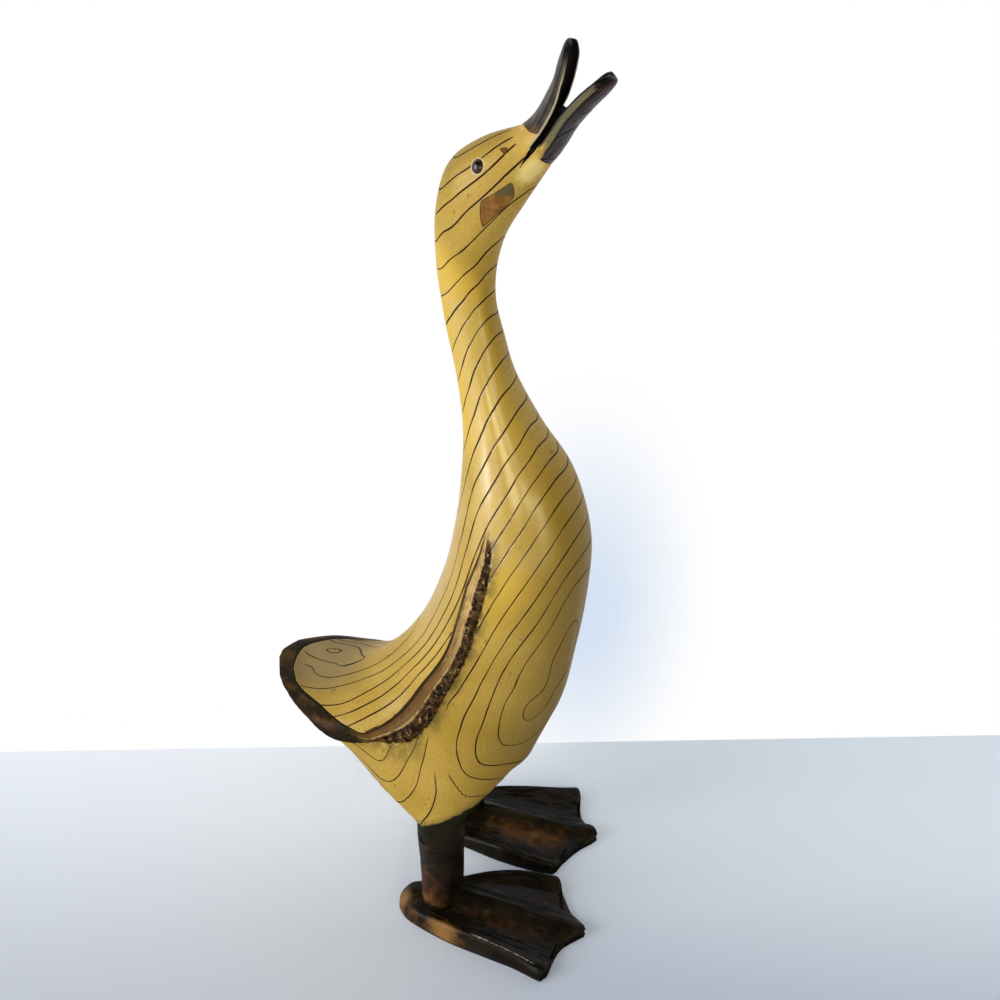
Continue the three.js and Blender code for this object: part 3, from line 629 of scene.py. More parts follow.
# Distance from a centre in half-axes of an oval: 1 on its edge
def ovalDistance(centre, *axes):
    offset = vectors("SUBTRACT", objectPlace(), tuple(centre)).outputs[0]
    parts = [vectors("DOT_PRODUCT", offset, tuple(axis)).outputs["Value"] for axis in axes]
    return vectors("LENGTH", addNode("ShaderNodeCombineXYZ", dict(enumerate(parts))).outputs[0]).outputs["Value"]


eyeForm = {"station": 1.18, "angle": 119.0, "across": 3.0, "tall": 3.6, "dome": 2.0, "ring": 0.6, "sunk": 0.4,
           "rows": 24, "columns": 48}


# Place, outward normal, upward and sideways tangents of the eye on one side
def eyePlace(side):
    s, v, h = eyeForm["station"], side * math.radians(eyeForm["angle"]), 1e-3
    centre = bodySurface(np.array(s), np.array(v))
    ps = bodySurface(np.array(s + h), np.array(v)) - centre
    pv = bodySurface(np.array(s), np.array(v + h)) - centre
    out = np.cross(ps, pv)
    out = out / np.linalg.norm(out)
    out = out if out[1] * side > 0 else -out
    up = np.array([0.0, 0.0, 1.0]) - out[2] * out
    up = up / np.linalg.norm(up)
    return centre, out, up, np.cross(up, out)


look = colours(
    pale=(199, 166, 81), deep=(176, 143, 51), line=(40, 20, 8), speck=(120, 88, 34), shadow=(122, 98, 31),
    polished=(222, 184, 74), face=(206, 172, 86), dusk=(140, 122, 84), smudge=(112, 98, 46), crumb=(196, 174, 116),
    barkDark=(24, 15, 8), barkMid=(88, 62, 32), barkPale=(176, 148, 100), bevel=(208, 172, 110),
    bevelLow=(116, 86, 44), bevelDeep=(84, 60, 26), rim=(84, 58, 24), rimDeep=(34, 26, 12), patch=(158, 108, 46),
    patchDeep=(120, 84, 38), patchUp=(92, 82, 50), patchEdge=(84, 64, 32), fleck=(116, 74, 28),
    cheek=(244, 222, 146), mouth=(18, 12, 7), ring=(206, 182, 132), green=(96, 90, 42), stain=(30, 26, 14))
lacqueredWood, tree, shader = newMaterial("lacquered_wood", 0.5, 0.6, 0.24, 0.05)
shader.inputs["Coat IOR"].default_value = 1.85
fine, grain = speckle(0.0012, 2.0), attribute("grain")
rings = addNode("ShaderNodeTexNoise", {"W": grain, "Scale": 7.0, "Detail": 3.0}, noise_dimensions="1D").outputs[0]
tone = sums("ADD", product(speckle(0.045, 2.0), 0.75), product(rings, 0.25))
# painted shade: greyer, darker wood on the tail's upturned dish
duskShare = reach(frayed(attribute("dusk"), speckle(0.02, 2.0), 0.3), 0.05, 1.0, 0.0, 0.85)
wood = layered(
    mixColours(reach(tone, 0.3, 0.7), "pale", "deep"),
    (reach(fine, 0.35, 0.75, 0.0, 0.22), "speck"),
    (product(reach(speckle(0.006, 1.0), 0.7, 0.78), 0.5), "speck"),
    # painted shade: darker wood on the belly's front and on the crown
    (product(attribute("shadow"), 0.8), "shadow"),
    (product(attribute("face"), 0.8), "face"),
    # painted sheen: lighter wood on the neck and breast
    (attribute("golden"), "polished"),
    (duskShare, "dusk"),
    (reach(attribute("line"), 0.1, 0.45), "line"))
# bark of the wing edge: crumbly below, a smooth bevel above, dark along both of its borders, and a painted highlight
# along the ridge between crumbs and bevel
barkHere, barkShare, tailMask = attribute("barkOn"), attribute("bark"), attribute("tail")
barkNoise = speckle(0.004, 4.0)
ragged = frayed(barkShare, speckle(0.003, 3.0), 0.3)
crumbTone = layered(
    mixColours(reach(barkNoise, 0.38, 0.66), "barkDark", "barkMid"),
    (reach(speckle(0.002, 3.0), 0.58, 0.7, 0.0, 0.85), "barkPale"))
fibres = streaks(grain, barkShare, 0.9, 14.0)
bevelTone = sums("ADD", product(speckle(0.007, 4.0), 0.5), product(fibres, 0.5), product(barkShare, 0.25))
bevelPale = mixColours(attribute("low"), "bevel", "bevelLow")
bevelTone = mixColours(reach(bevelTone, 0.9, 0.55), "bevelDeep", bevelPale)
rimTone = layered(
    mixColours(reach(speckle(0.009, 4.0), 0.38, 0.7), "rimDeep", "rim"),
    (reach(sums("ABSOLUTE", sums("SUBTRACT", barkShare, 0.62)), 0.2, 0.4), "rimDeep"))
edges = sums("MAXIMUM", near(barkShare, 0.95, 0.1), product(near(ragged, 0.4, 0.08), 0.6))
# painted highlight: a pale line along the bark's ridge
crest = product(near(frayed(barkShare, barkNoise, 0.1), 0.5, 0.05), reach(barkNoise, 0.4, 0.55),
                sums("SUBTRACT", 1.0, tailMask))
band = layered(
    crumbTone,
    (reach(sums("ADD", ragged, product(tailMask, 0.5)), 0.38, 0.46), mixColours(tailMask, bevelTone, rimTone)),
    (product(edges, 0.85), "barkDark"),
    (product(crest, 0.85), "barkPale"))
bandOn = product(barkHere, reach(ragged, -0.1, 0.0), reach(barkShare, 1.03, 0.99))
smudge = product(barkHere, reach(barkShare, -1.1, -0.05), reach(speckle(0.008, 4.0), 0.42, 0.62),
                 reach(barkShare, 0.3, 0.0), 0.75)
crumbsBelow = product(barkHere, near(ragged, -0.12, 0.2), reach(speckle(0.002, 4.0), 0.56, 0.66), 0.7)
# worn patch on the cheek, pale cheek beside the mouth, dark mouth, brown fleck before the eye
patch = frayed(attribute("patch"), speckle(0.005, 2.0), 0.9)
patchTone = layered(
    mixColours(reach(speckle(0.004, 3.0), 0.35, 0.65), "patchDeep", "patch"),
    (product(reach(attribute("patchUp"), 0.25, 0.7), 0.9), "patchUp"))
cheek = ovalDistance(toFrame([[75.0, -15.0, 460.0]])[0], (70.0, 0, 70.0), (0, 40.0, 0), (-120.0, 0, 120.0))
cheek = frayed(cheek, speckle(0.004, 3.0), 0.7)
fleck = attribute("fleck")
wood = layered(
    wood,
    (smudge, "smudge"),
    (crumbsBelow, "crumb"),
    (bandOn, band),
    (reach(patch, -0.35, 0.0), "patchEdge"),
    (reach(patch, 0.2, 0.8), patchTone),
    (reach(cheek, 1.1, 0.4, 0.0, 0.8), "cheek"),
    (reach(attribute("mouth"), 0.02, 0.3), "mouth"),
    (reach(fleck, -0.25, 0.05), "patchEdge"),
    (reach(fleck, 0.2, 0.6), "fleck"))
for side in (1, -1):
    centre, out, up, sideways = eyePlace(side)
    wide, tall = (1000.0 / (eyeForm[key] + eyeForm["ring"]) for key in ("across", "tall"))
    eyeRing = ovalDistance(toFrame([centre])[0], sideways * wide, up * tall, out * 150)
    wood = mixColours(reach(eyeRing, 1.06, 0.97), wood, "ring")
stainEdge = frayed(attribute("stain"), speckle(0.006, 3.0), 0.9)
stained = reach(stainEdge, -0.1, 0.15)
wood = layered(wood, (reach(stainEdge, -0.9, 0.1, 0.0, 0.6), "green"), (stained, "stain"))
feed("Base Color", wood)
feed("Roughness", mixNumbers(bandOn, 0.5, 0.65))
dull = sums("MAXIMUM", bandOn, duskShare, stained, attribute("line"))
polish = product(attribute("gloss"), reach(speckle(0.005, 4.0), 0.2, 0.6, 0.6, 1.0))
feed("Coat Weight", mixNumbers(dull, reach(polish, 0.0, 1.0, 0.15, 1.0), 0.04))
height = sums("ADD", fine, product(bandOn, barkNoise, 3.0))
feed("Normal", addNode("ShaderNodeBump", {"Strength": 0.22, "Distance": 0.0006, "Height": height}).outputs[0])

tintForm = {
    # convex outlines on the right side of the head: station, degrees; mm per station and per degree there
    "patch": [[1.57, 80], [1.78, 72], [2.01, 59], [1.66, 52], [1.21, 47], [0.93, 46], [0.81, 54], [0.73, 67],
              [0.98, 72], [1.25, 76]],
    "fleck": [[0.53, 125], [0.49, 111], [0.38, 119]],
    "outlineScale": (20.0, 0.45), "outlineEnd": 2.6, "outlineReach": 3.0,
    # the legs' stain on the thighs: its height at an x, slope, softness and reach from the leg
    "stainZ": 76.0, "stainX": 15.0, "stainSlope": 0.4, "stainSoft": 6.0, "stainReach": 34.0,
    # stations, degrees and shares of the bark between which each tint comes and goes, and its strength; the belly,
    # crown and tail tints are painted shade, the neck and breast ones painted sheen
    "patchUp": (0.95, 1.3), "patchSlant": 0.012, "patchAngle": 67.0, "faceAlong": (0.0, 0.5), "lowAlong": (9.6, 11.6),
    "duskAlong": (11.6, 13.3), "duskRim": (1.0, 1.2), "duskRound": (128.0, 184.0),
    "bellyRound": (20.0, 75.0), "bellyAlong": (7.0, 9.8),
    "crownRound": (120.0, 150.0), "crownAlong": (1.8, 3.0), "crown": 0.5,
    "glossAlong": (3.4, 4.8, 8.6, 9.6), "glossRound": (40.0, 60.0, 118.0, 132.0),
    "capeRim": (1.0, 1.1), "capeAlong": (7.5, 8.5, 10.6, 11.6), "cape": 0.4,
    "neckAlong": (3.0, 3.9, 6.8, 7.8), "neckRound": (30.0, 60.0), "neck": 0.75,
    "breastAlong": (9.2, 0.9), "breastRound": (84.0, 18.0), "breast": 0.75, "glossGold": 0.5,
}


# Distance in mm inside a convex outline, its corners rounded by a soft minimum over the sides
def insideOutline(name):
    alongScale, roundScale = tintForm["outlineScale"]
    corners = np.array(tintForm[name]) * (alongScale, roundScale)
    total = np.zeros(len(station))
    for first, second in zip(corners, np.roll(corners, -1, 0)):
        way = (second - first) / np.linalg.norm(second - first)
        distance = (alongScale * station - first[0]) * way[1] - (roundScale * degrees - first[1]) * way[0]
        total += np.exp(-2.0 * np.clip(distance, -8.0, 8.0))
    far = tintForm["outlineReach"]
    inside = np.clip(0.4 - 0.5 * np.log(total), -far, far)
    return np.where(~leftSide & (station < tintForm["outlineEnd"]), inside, -far)


stain = tintForm["stainZ"] + tintForm["stainSlope"] * (where[:, 0] - tintForm["stainX"]) - where[:, 2]
stain = np.clip(stain / tintForm["stainSoft"], -2.0, 2.0)
fromLeg = np.hypot(where[:, 0] - legPlace["x"], np.abs(where[:, 1]) - legAside(leftSide))
patchTop = station + tintForm["patchSlant"] * (tintForm["patchAngle"] - degrees)
# painted shade on the tail's dish; on the right side only near the middle of the back
dusk = smooth(station, *tintForm["duskAlong"]) * smooth(bark, *tintForm["duskRim"])
# painted shade: darker wood low on the breast and belly, and on the crown
belly = (1 - smooth(degrees, *tintForm["bellyRound"])) * smooth(station, *tintForm["bellyAlong"])
crown = tintForm["crown"] * smooth(degrees, *tintForm["crownRound"]) * (1 - smooth(station, *tintForm["crownAlong"]))
# the sides of neck and breast have the most coat, the upper cape a little
gloss = between(station, *tintForm["glossAlong"]) * between(degrees, *tintForm["glossRound"])
cape = tintForm["cape"] * smooth(bark, *tintForm["capeRim"]) * between(station, *tintForm["capeAlong"])
gloss = np.maximum(gloss, cape)
# painted sheen: the wood made lighter on the neck and breast, and by half as much wherever there is gloss
neck = tintForm["neck"] * between(station, *tintForm["neckAlong"]) * smooth(degrees, *tintForm["neckRound"])
breast = tintForm["breast"] * bell(station, *tintForm["breastAlong"]) * bell(degrees, *tintForm["breastRound"])
makePiece("body_carving", where, bodyTriangles, lacqueredWood, ["body"], {
    "line": onLine, "grain": number, "bark": np.clip(bark, -2, 3), "barkOn": barkOn, "tail": tailShare,
    "stain": np.where(fromLeg < tintForm["stainReach"], stain, -2.0), "patch": insideOutline("patch"),
    "patchUp": 1 - smooth(patchTop, *tintForm["patchUp"]), "fleck": insideOutline("fleck"), "mouth": inMouth,
    "dusk": dusk * np.where(leftSide, 1.0, smooth(degrees, *tintForm["duskRound"])),
    "face": 1 - smooth(station, *tintForm["faceAlong"]), "shadow": np.maximum(belly, crown), "gloss": gloss,
    "golden": np.maximum(np.maximum(neck, breast), tintForm["glossGold"] * gloss),
    "low": smooth(station, *tintForm["lowAlong"])}, borders)


# Closes a stack of rings into triangles, both ends with fans, facing out
def closedStack(rings):
    rows, columns, _ = rings.shape
    points = rings.reshape(-1, 3)
    index = np.arange(rows * columns).reshape(rows, columns)
    after = np.roll(index, -1, 1)
    quads = np.stack([index[:-1], after[:-1], after[1:], index[1:]], -1).reshape(-1, 4)
    triangles = np.vstack([quads[:, [0, 1, 2]], quads[:, [0, 2, 3]]])
    for rim, last in ((index[0], False), (index[-1], True)):
        points, fan = addFan(points, rim, points[rim].mean(0))
        triangles = np.vstack([triangles, fan if last else fan[:, ::-1]])
    a, b, c = (points[triangles[:, i]] - points.mean(0) for i in range(3))
    return points, triangles if (np.cross(b, c) * a).sum() > 0 else triangles[:, ::-1]


# Angles round a ring
def ringAngles(count):
    return np.radians(np.linspace(0, 360, count + 1)[:-1])


# Values of a ring stack with those of its two end points
def withEnds(values, first, last):
    return np.concatenate([np.asarray(values, float).ravel(), [first, last]])


billForm = {
    # ridge x and z, lip x and z from the nape, half width, hollow of the inside
    "upper": [[75.6, 47.8, 82.2, 42.2, 11.6, 0.25], [81, 56.8, 88.4, 53.6, 12.4, 0.5],
              [85.3, 65.5, 91.5, 63.6, 12.8, 0.55], [87.9, 75, 93.7, 73.4, 11.4, 0.5],
              [89.9, 81.2, 94.2, 79.2, 7.4, 0.4], [91.6, 83.4, 93.9, 82.2, 4, 0.2]],
    "lower": [[89.4, 30.4, 84.2, 39.4, 11, 0.3], [97.4, 43.4, 91.2, 50.2, 11.8, 0.5],
              [104.6, 52.2, 98.8, 58.8, 11.8, 0.55], [111, 59, 105.8, 65.2, 10.4, 0.4],
              [114.2, 63, 109.8, 67.6, 6.8, 0.12], [115.6, 65.6, 112.4, 68.4, 3.8, 0.02]],
    "faceTop": (69.0, 479.0), "faceLow": (85.0, 462.0), "faceWidth": 11.0, "wall": 1.2, "tipFrom": 0.95,
    "rows": 150, "outerColumns": 81, "innerColumns": 41,
    # where the arcs on the underside start, and how far up they go
    "arcs": ((0.11, 0.68), (0.345, 0.68), (0.49, 0.45)),
    # the filler in the corner of the mouth: table rows it ends at, half height, inset from the sides
    "fillEnds": (1.72, 1.85), "fillRise": 0.52, "fillInset": 1.8, "fillRows": 12, "fillColumns": 32,
}


# A half's table with its root row on the face: shares down the face of its ridge and of its lip
def billTable(name, ridgeShare, lipShare):
    top, low = np.array(billForm["faceTop"]), np.array(billForm["faceLow"])
    rows = np.array(billForm[name], float)
    rows[:, [1, 3]] += napeZ
    ridge, lip = (top + (low - top) * share for share in (ridgeShare, lipShare))
    return np.vstack([np.concatenate([ridge, lip, [billForm["faceWidth"], 0.02]]), rows])


upperTable = billTable("upper", 0.0, 0.47)
lowerTable = billTable("lower", 1.0, 0.6)


# A half of the bill: an arc from lip to lip over the ridge and a flatter arc back inside, swept from the face
# to a rounded tip; the edge value runs 0 at the ridge, 1 at the lip, 2 in the middle of the inside
def billShape(table, carving):
    outer = np.radians(np.linspace(-90, 90, billForm["outerColumns"]))
    inner = np.radians(np.linspace(90, -90, billForm["innerColumns"]))[1:-1]
    k = (len(table) - 1) * np.linspace(0, 1, billForm["rows"])
    ridgeX, ridgeZ, lipX, lipZ, width, hollow = (c[:, None] for c in along(table, k).T)
    share = np.hstack([np.repeat(1 - np.cos(outer)[None], len(k), 0), 1 - hollow * np.cos(inner)])
    y = np.hstack([width * np.sin(outer), np.maximum(width - billForm["wall"], 0.6 * width) * np.sin(inner)])
    edge = np.concatenate([np.abs(outer) / (np.pi / 2), 2 - np.abs(inner) / (np.pi / 2)])
    edge, run = np.broadcast_arrays(edge[None, :], (k / k[-1])[:, None])
    x, z = ridgeX + (lipX - ridgeX) * share, ridgeZ + (lipZ - ridgeZ) * share
    # the tip closes like a fingertip
    close = np.clip((run - billForm["tipFrom"]) / (1.01 * (1 - billForm["tipFrom"])), 0, 1)
    close = np.sqrt(np.clip(1 - close ** 2, 0.0025, 1))
    midX, midZ = x.mean(1, keepdims=True), z.mean(1, keepdims=True)
    rings = np.stack([midX + (x - midX) * close, y * close, midZ + (z - midZ) * close], -1)
    points, triangles = closedStack(rings)
    edge, run = withEnds(edge, 1.0, 1.0), withEnds(run, 0.0, 1.0)
    points = points + pointNormals(points, triangles) * carving(run, edge, points)[:, None]
    return turnHead(*points.T, 1.0), triangles, edge, run


# Lengthwise groove and carved unevenness of the upper half
def upperCarving(run, edge, points):
    groove = -0.45 * bell(edge, 0.72, 0.04) * between(run, 0.08, 0.2, 0.75, 0.9)
    lip = 0.35 * bell(edge, 1.0, 0.05) * smooth(run, 0.05, 0.15)
    palate = 0.5 * (lumps(np.stack([edge * 14, run * 3, edge * 0], -1), 1.0) - 0.5) * (edge > 1.15)
    return (groove + lip + palate + 0.3 * (lumps(points, 4.0) - 0.5)) * smooth(run, 0.0, 0.06)


# Arcs cut across the underside
def lowerArcs(run, edge):
    place = run + 0.24 * edge ** 2
    return sum(bell(place, start, 0.006) * (edge < end) for start, end in billForm["arcs"])


# Crease under the side strip, the arcs, slight unevenness
def lowerCarving(run, edge, points):
    crease = -0.55 * bell(edge, 0.7, 0.03) * smooth(run, 0.03, 0.15)
    strip = 0.35 * between(edge, 0.72, 0.78, 0.97, 1.04)
    relief = crease + strip - 0.35 * lowerArcs(run, edge) + 0.25 * (lumps(points, 4.0) - 0.5)
    return relief * between(run, 0.0, 0.05, 0.88, 0.96)


look = colours(
    grey=(88, 80, 74), greyDeep=(36, 31, 28), brown=(58, 44, 32), black=(7, 6, 6), lip=(176, 166, 138),
    palate=(12, 11, 10), streak=(84, 82, 80), rust=(80, 48, 22), olive=(122, 117, 90), under=(78, 72, 76),
    underDeep=(38, 34, 38), wine=(56, 24, 36), pale=(202, 167, 82), deep=(188, 153, 66), shadow=(26, 20, 15),
    stripDeep=(80, 75, 54), lipLine=(22, 19, 14))


# The wood at a half's root, like the head's beside it
def rootWood():
    return mixColours(reach(speckle(0.006, 4.0), 0.35, 0.65), "pale", "deep")


# Gloss outside, none in the mouth
def mouthGloss(edge):
    feed("Coat Weight", reach(edge, 1.02, 1.1, 0.2, 0.0))
    feed("Roughness", reach(edge, 1.02, 1.1, 0.45, 0.9))


upperLook, tree, shader = newMaterial("upper_bill_stain", 0.45, 0.2, 0.2, 0.08)
run, edge = attribute("along"), attribute("edge")
streak = streaks(run, edge, 4.0, 26.0)
grey = mixColours(reach(streak, 0.36, 0.62), "grey", "greyDeep")
brown = mixColours(reach(streak, 0.4, 0.66), "brown", "shadow")
base = frayed(sums("SUBTRACT", run, product(edge, edge, 0.1)), speckle(0.004, 3.0), 0.03)
palate = reach(streaks(run, edge, 3.0, 40.0), 0.58, 0.75, 0.0, 0.5)
palate = mixColours(palate, "palate", "streak")
# painted highlight: a pale line along the lip's raised edge, fading towards the tip
lipOn = product(near(edge, 0.99, 0.06), reach(run, 0.72, 0.5), reach(streak, 0.2, 0.5, 0.6, 1.0))
feed("Base Color", layered(
    grey,
    (reach(edge, 0.3, 0.08), "greyDeep"),
    (reach(edge, 0.68, 0.74), brown),
    (product(near(edge, 0.71, 0.05), reach(run, 0.1, 0.2)), "black"),
    (reach(base, 0.12, 0.05), "brown"),
    (product(reach(base, 0.13, 0.1), near(edge, 0.68, 0.26)), "rust"),
    (reach(base, 0.052, 0.04), rootWood()),
    (reach(edge, 1.03, 1.07), palate),
    (lipOn, "lip"),
    (reach(frayed(run, streak, 0.14), 0.7, 0.8), "black")))
mouthGloss(edge)

lowerLook, tree, shader = newMaterial("lower_bill_stain", 0.45, 0.2, 0.2, 0.08)
run, edge = attribute("along"), attribute("edge")
streak = streaks(run, edge, 5.0, 30.0)
strip = layered(
    mixColours(reach(streak, 0.35, 0.7), "olive", "stripDeep"),
    (reach(frayed(run, speckle(0.003, 4.0), 0.3), 0.22, 0.02), rootWood()),
    (reach(frayed(run, streak, 0.08), 0.64, 0.7), "black"))
feed("Base Color", layered(
    mixColours(reach(streak, 0.35, 0.7), "under", "underDeep"),
    (reach(attribute("arcs"), 0.2, 0.6), "black"),
    (product(near(edge, 0.62, 0.09), reach(run, 0.4, 0.65)), "wine"),
    (reach(edge, 0.69, 0.73), strip),
    (product(near(edge, 0.695, 0.035), reach(run, 0.03, 0.15)), "black"),
    (product(reach(edge, 0.94, 0.97), reach(run, 0.02, 0.12)), "lipLine"),
    (reach(edge, 1.05, 1.1), "palate"),
    (reach(frayed(run, streak, 0.1), 0.9, 0.98), "black")))
mouthGloss(edge)

points, triangles, edge, run = billShape(upperTable, upperCarving)
makePiece("upper_bill_carving", points, triangles, upperLook, ["upper_bill"],
          {"edge": edge, "along": run}, run == 0.0)
points, triangles, edge, run = billShape(lowerTable, lowerCarving)
# the mouth is solid behind its corner: a dark block between the halves, up to where the cut between them ends
fillRows = np.linspace(0.0, 1.0, billForm["fillRows"])
ends = zip((upperTable, lowerTable), billForm["fillEnds"])
upperEdge, lowerEdge = (along(table, fillRows * end) for table, end in ends)
ring = ringAngles(billForm["fillColumns"])
rootOf = lambda c: np.sign(c) * np.abs(c) ** 0.5
mid = (upperEdge[:, 2:4] + lowerEdge[:, 2:4]) / 2
rise = (upperEdge[:, 2:4] - lowerEdge[:, 2:4]) * billForm["fillRise"]
halfWidth = (np.minimum(upperEdge[:, 4], lowerEdge[:, 4]) - billForm["fillInset"])[:, None]
fill = np.stack([mid[:, :1] + rise[:, :1] * rootOf(np.sin(ring)), halfWidth * rootOf(np.cos(ring)),
                 mid[:, 1:] + rise[:, 1:] * rootOf(np.sin(ring))], -1)
fill, fillTriangles = closedStack(fill)
triangles = np.vstack([triangles, fillTriangles + len(points)])
points = np.vstack([points, turnHead(*fill.T, 1.0)])
edge = np.concatenate([edge, np.full(len(fill), 1.6)])
run = np.concatenate([run, np.full(len(fill), 0.5)])
makePiece("lower_bill_carving", points, triangles, lowerLook, ["lower_bill"],
          {"edge": edge, "along": run, "arcs": lowerArcs(run, edge)}, run == 0.0)

look = colours(pupil=(6, 5, 4), iris=(50, 26, 12), edge=(10, 8, 6))
eyeGlass, tree, shader = newMaterial("eye_glass", 0.08, 0.25, 0.03, 0.4)
radial = attribute("radial")
iris = mixColours(reach(radial, 0.5, 0.62), "pupil", "iris")
feed("Base Color", mixColours(reach(radial, 0.84, 0.95), iris, "edge"))
for side, name in ((1, "left_eye"), (-1, "right_eye")):
    centre, out, up, sideways = eyePlace(side)
    radial = np.sin(np.linspace(0, np.pi / 2, eyeForm["rows"]))[1:, None]
    turn = ringAngles(eyeForm["columns"])
    lift = eyeForm["dome"] * np.sqrt(np.maximum(1 - radial ** 2, 0)) - eyeForm["sunk"] + 0 * turn
    dome = centre + (eyeForm["across"] * radial * np.cos(turn))[..., None] * sideways \
        + (eyeForm["tall"] * radial * np.sin(turn))[..., None] * up + lift[..., None] * out
    points, triangles = closedStack(dome)
    makePiece(name + "_dome", points, triangles, eyeGlass, [name],
              {"radial": withEnds(radial + 0 * turn, 0.0, 1.0)})

look = colours(dark=(13, 10, 5), warm=(34, 25, 13), bronze=(92, 62, 30), rust=(74, 42, 18), gold=(138, 100, 54),
               line=(6, 5, 3), edge=(176, 170, 150))
# Dark stain rubbed through to bronze, with gold worn places and a pale painted highlight along the toes' outer ridge
footStain, tree, shader = newMaterial("foot_stain", 0.42, 0.12, 0.2, 0.06)
bronze = mixColours(reach(speckle(0.02, 2.0), 0.42, 0.6), "bronze", "rust")
feed("Base Color", layered(
    mixColours(reach(speckle(0.011, 4.0), 0.35, 0.7), "dark", "warm"),
    (reach(frayed(attribute("rub"), speckle(0.006, 5.0), 1.3), 0.4, 1.2), bronze),
    (reach(frayed(attribute("gold"), speckle(0.006, 4.0), 0.7), 0.1, 1.0), "gold"),
    (attribute("line"), "line"),
    # painted highlight along the toes' outer ridge
    (reach(frayed(attribute("wornEdge"), speckle(0.003, 3.0), 0.9), 0.5, 1.0), "edge")))
height = speckle(0.0025, 4.0)
feed("Normal", addNode("ShaderNodeBump", {"Strength": 0.35, "Distance": 0.0005, "Height": height}).outputs[0])

legForm = {
    # height and radius
    "profile": [[7, 13.2], [14, 13.0], [30, 12.8], [46, 13.2], [63.2, 14.3]],
    "facetSize": 7.0, "facetDepth": 0.9, "cutPitch": 13.0, "cutWidth": 0.55, "cutDepth": 0.45,
    "rows": 64, "columns": 96,
}


# A post turned by the profile's radii, with knife facets and slanting cuts
def legShape(side):
    profile = np.array(legForm["profile"])
    z = np.linspace(profile[0, 0], profile[-1, 0], legForm["rows"])[:, None]
    turn = ringAngles(legForm["columns"])
    radius = np.interp(z, *profile.T) + 0 * turn
    ring = np.stack([radius * np.cos(turn), radius * np.sin(turn), z + 0 * turn], -1)
    facets = legForm["facetDepth"] * (lumps(ring * (1, 1, 0.35), legForm["facetSize"]) - 0.5)
    slant = (z - 30 - 10 * np.cos(turn + 0.4 + 0.5 * side)) / legForm["cutPitch"]
    cuts = bell(slant, np.round(slant), legForm["cutWidth"] / legForm["cutPitch"])
    cuts = cuts * between(z, 14, 20, 56, 62) * smooth(lumps(ring, 11.0), 0.3, 0.5)
    radius = radius + (facets - legForm["cutDepth"] * cuts) * (1 - smooth(z, 55, 63))
    middle = side * legAside(side > 0)
    points, triangles = closedStack(np.stack([
        legPlace["x"] + radius * np.cos(turn), middle + radius * np.sin(turn), z + 0 * turn], -1))
    facing = np.clip(np.cos(turn - math.pi + side * 0.9), 0, 1) + 0 * z
    rub = (0.5 + 0.5 * (1 - smooth(z, 25, 52))) * facing * smooth(z, 11, 18)
    gold = 0.5 * facing ** 3 * (1 - smooth(z, 14, 36)) * smooth(z, 13, 18)
    values = {"rub": rub, "gold": gold, "line": 0.8 * cuts, "wornEdge": 0 * cuts}
    return points, triangles, {key: withEnds(value, 0, 0) for key, value in values.items()}


footForm = {
    # inner x and y, outer x and y from the leg's axis, heel to tips
    "sides": [[-28.5, -2, -28.5, -1.6], [-25, -11, -25, 5.5], [-14, -18.5, -17, 13], [9.5, -24.3, 6, 25],
              [31, -30, 28, 33], [52, -33, 50, 40.5], [71, -33, 70, 48]],
    "front": [[71, -33], [71.5, -25], [74, -18.5], [79.5, -7], [88, 4], [88.5, 9], [82.5, 14.5], [76.5, 20.5],
              [73, 28.5], [71, 37.5], [70, 48]],
    "heel": 6.0, "instep": 9.5, "web": 3.5, "ridge": 5.5, "innerShoulder": 0.62, "outerShoulder": 0.38, "round": 3.0,
    # length, share of it left out at the heel, bulge of the side walls, turn of the left foot
    "length": 95.0, "heelShare": 0.04, "bulge": 0.4, "leftTurn": 7.5, "rows": 120, "columns": 110, "soleStep": 6,
}


# Where a share of the length and of the breadth lies in plan: between the sides, then onto the scalloped front
def footPlan(s, t):
    sides = along(footForm["sides"], s * (len(footForm["sides"]) - 1.0))
    inner, outer = sides[..., :2], sides[..., 2:]
    front = along(footForm["front"], t * (len(footForm["front"]) - 1.0))
    tips = np.array(footForm["sides"][-1], float)
    straight = tips[:2] + (tips[2:] - tips[:2]) * t[..., None]
    plan = inner + (outer - inner) * t[..., None] + smooth(s, 0.45, 1.0)[..., None] * (front - straight)
    corner = np.clip((np.abs(2 * t - 1) - 0.8) / 0.2, 0, 1)
    plan[..., 0] -= 4.0 * (1 - np.sqrt(1 - corner ** 2 + 1e-9)) * smooth(s, 0.8, 1.0)
    return plan


# Height of the foot: an instep that falls to its sides and to thin webs, with three toe ridges
def footTop(s, t):
    web = footForm["heel"] + footForm["instep"] * smooth(s, 0.0, 0.32)
    low = web + (footForm["web"] - web) * smooth(s, 0.4, 1.0)
    ridge = ((1 + np.cos(4 * np.pi * t)) / 2) ** 1.5
    edge = smooth(np.minimum(t, 1 - t), 0.0, 0.4)
    drop = footForm["innerShoulder"] + (footForm["outerShoulder"] - footForm["innerShoulder"]) * t
    shoulder = 1 - drop * (1 - edge) * (1 - smooth(s, 0.5, 0.9))
    return low * shoulder + footForm["ridge"] * ridge * smooth(s, 0.3, 0.62)


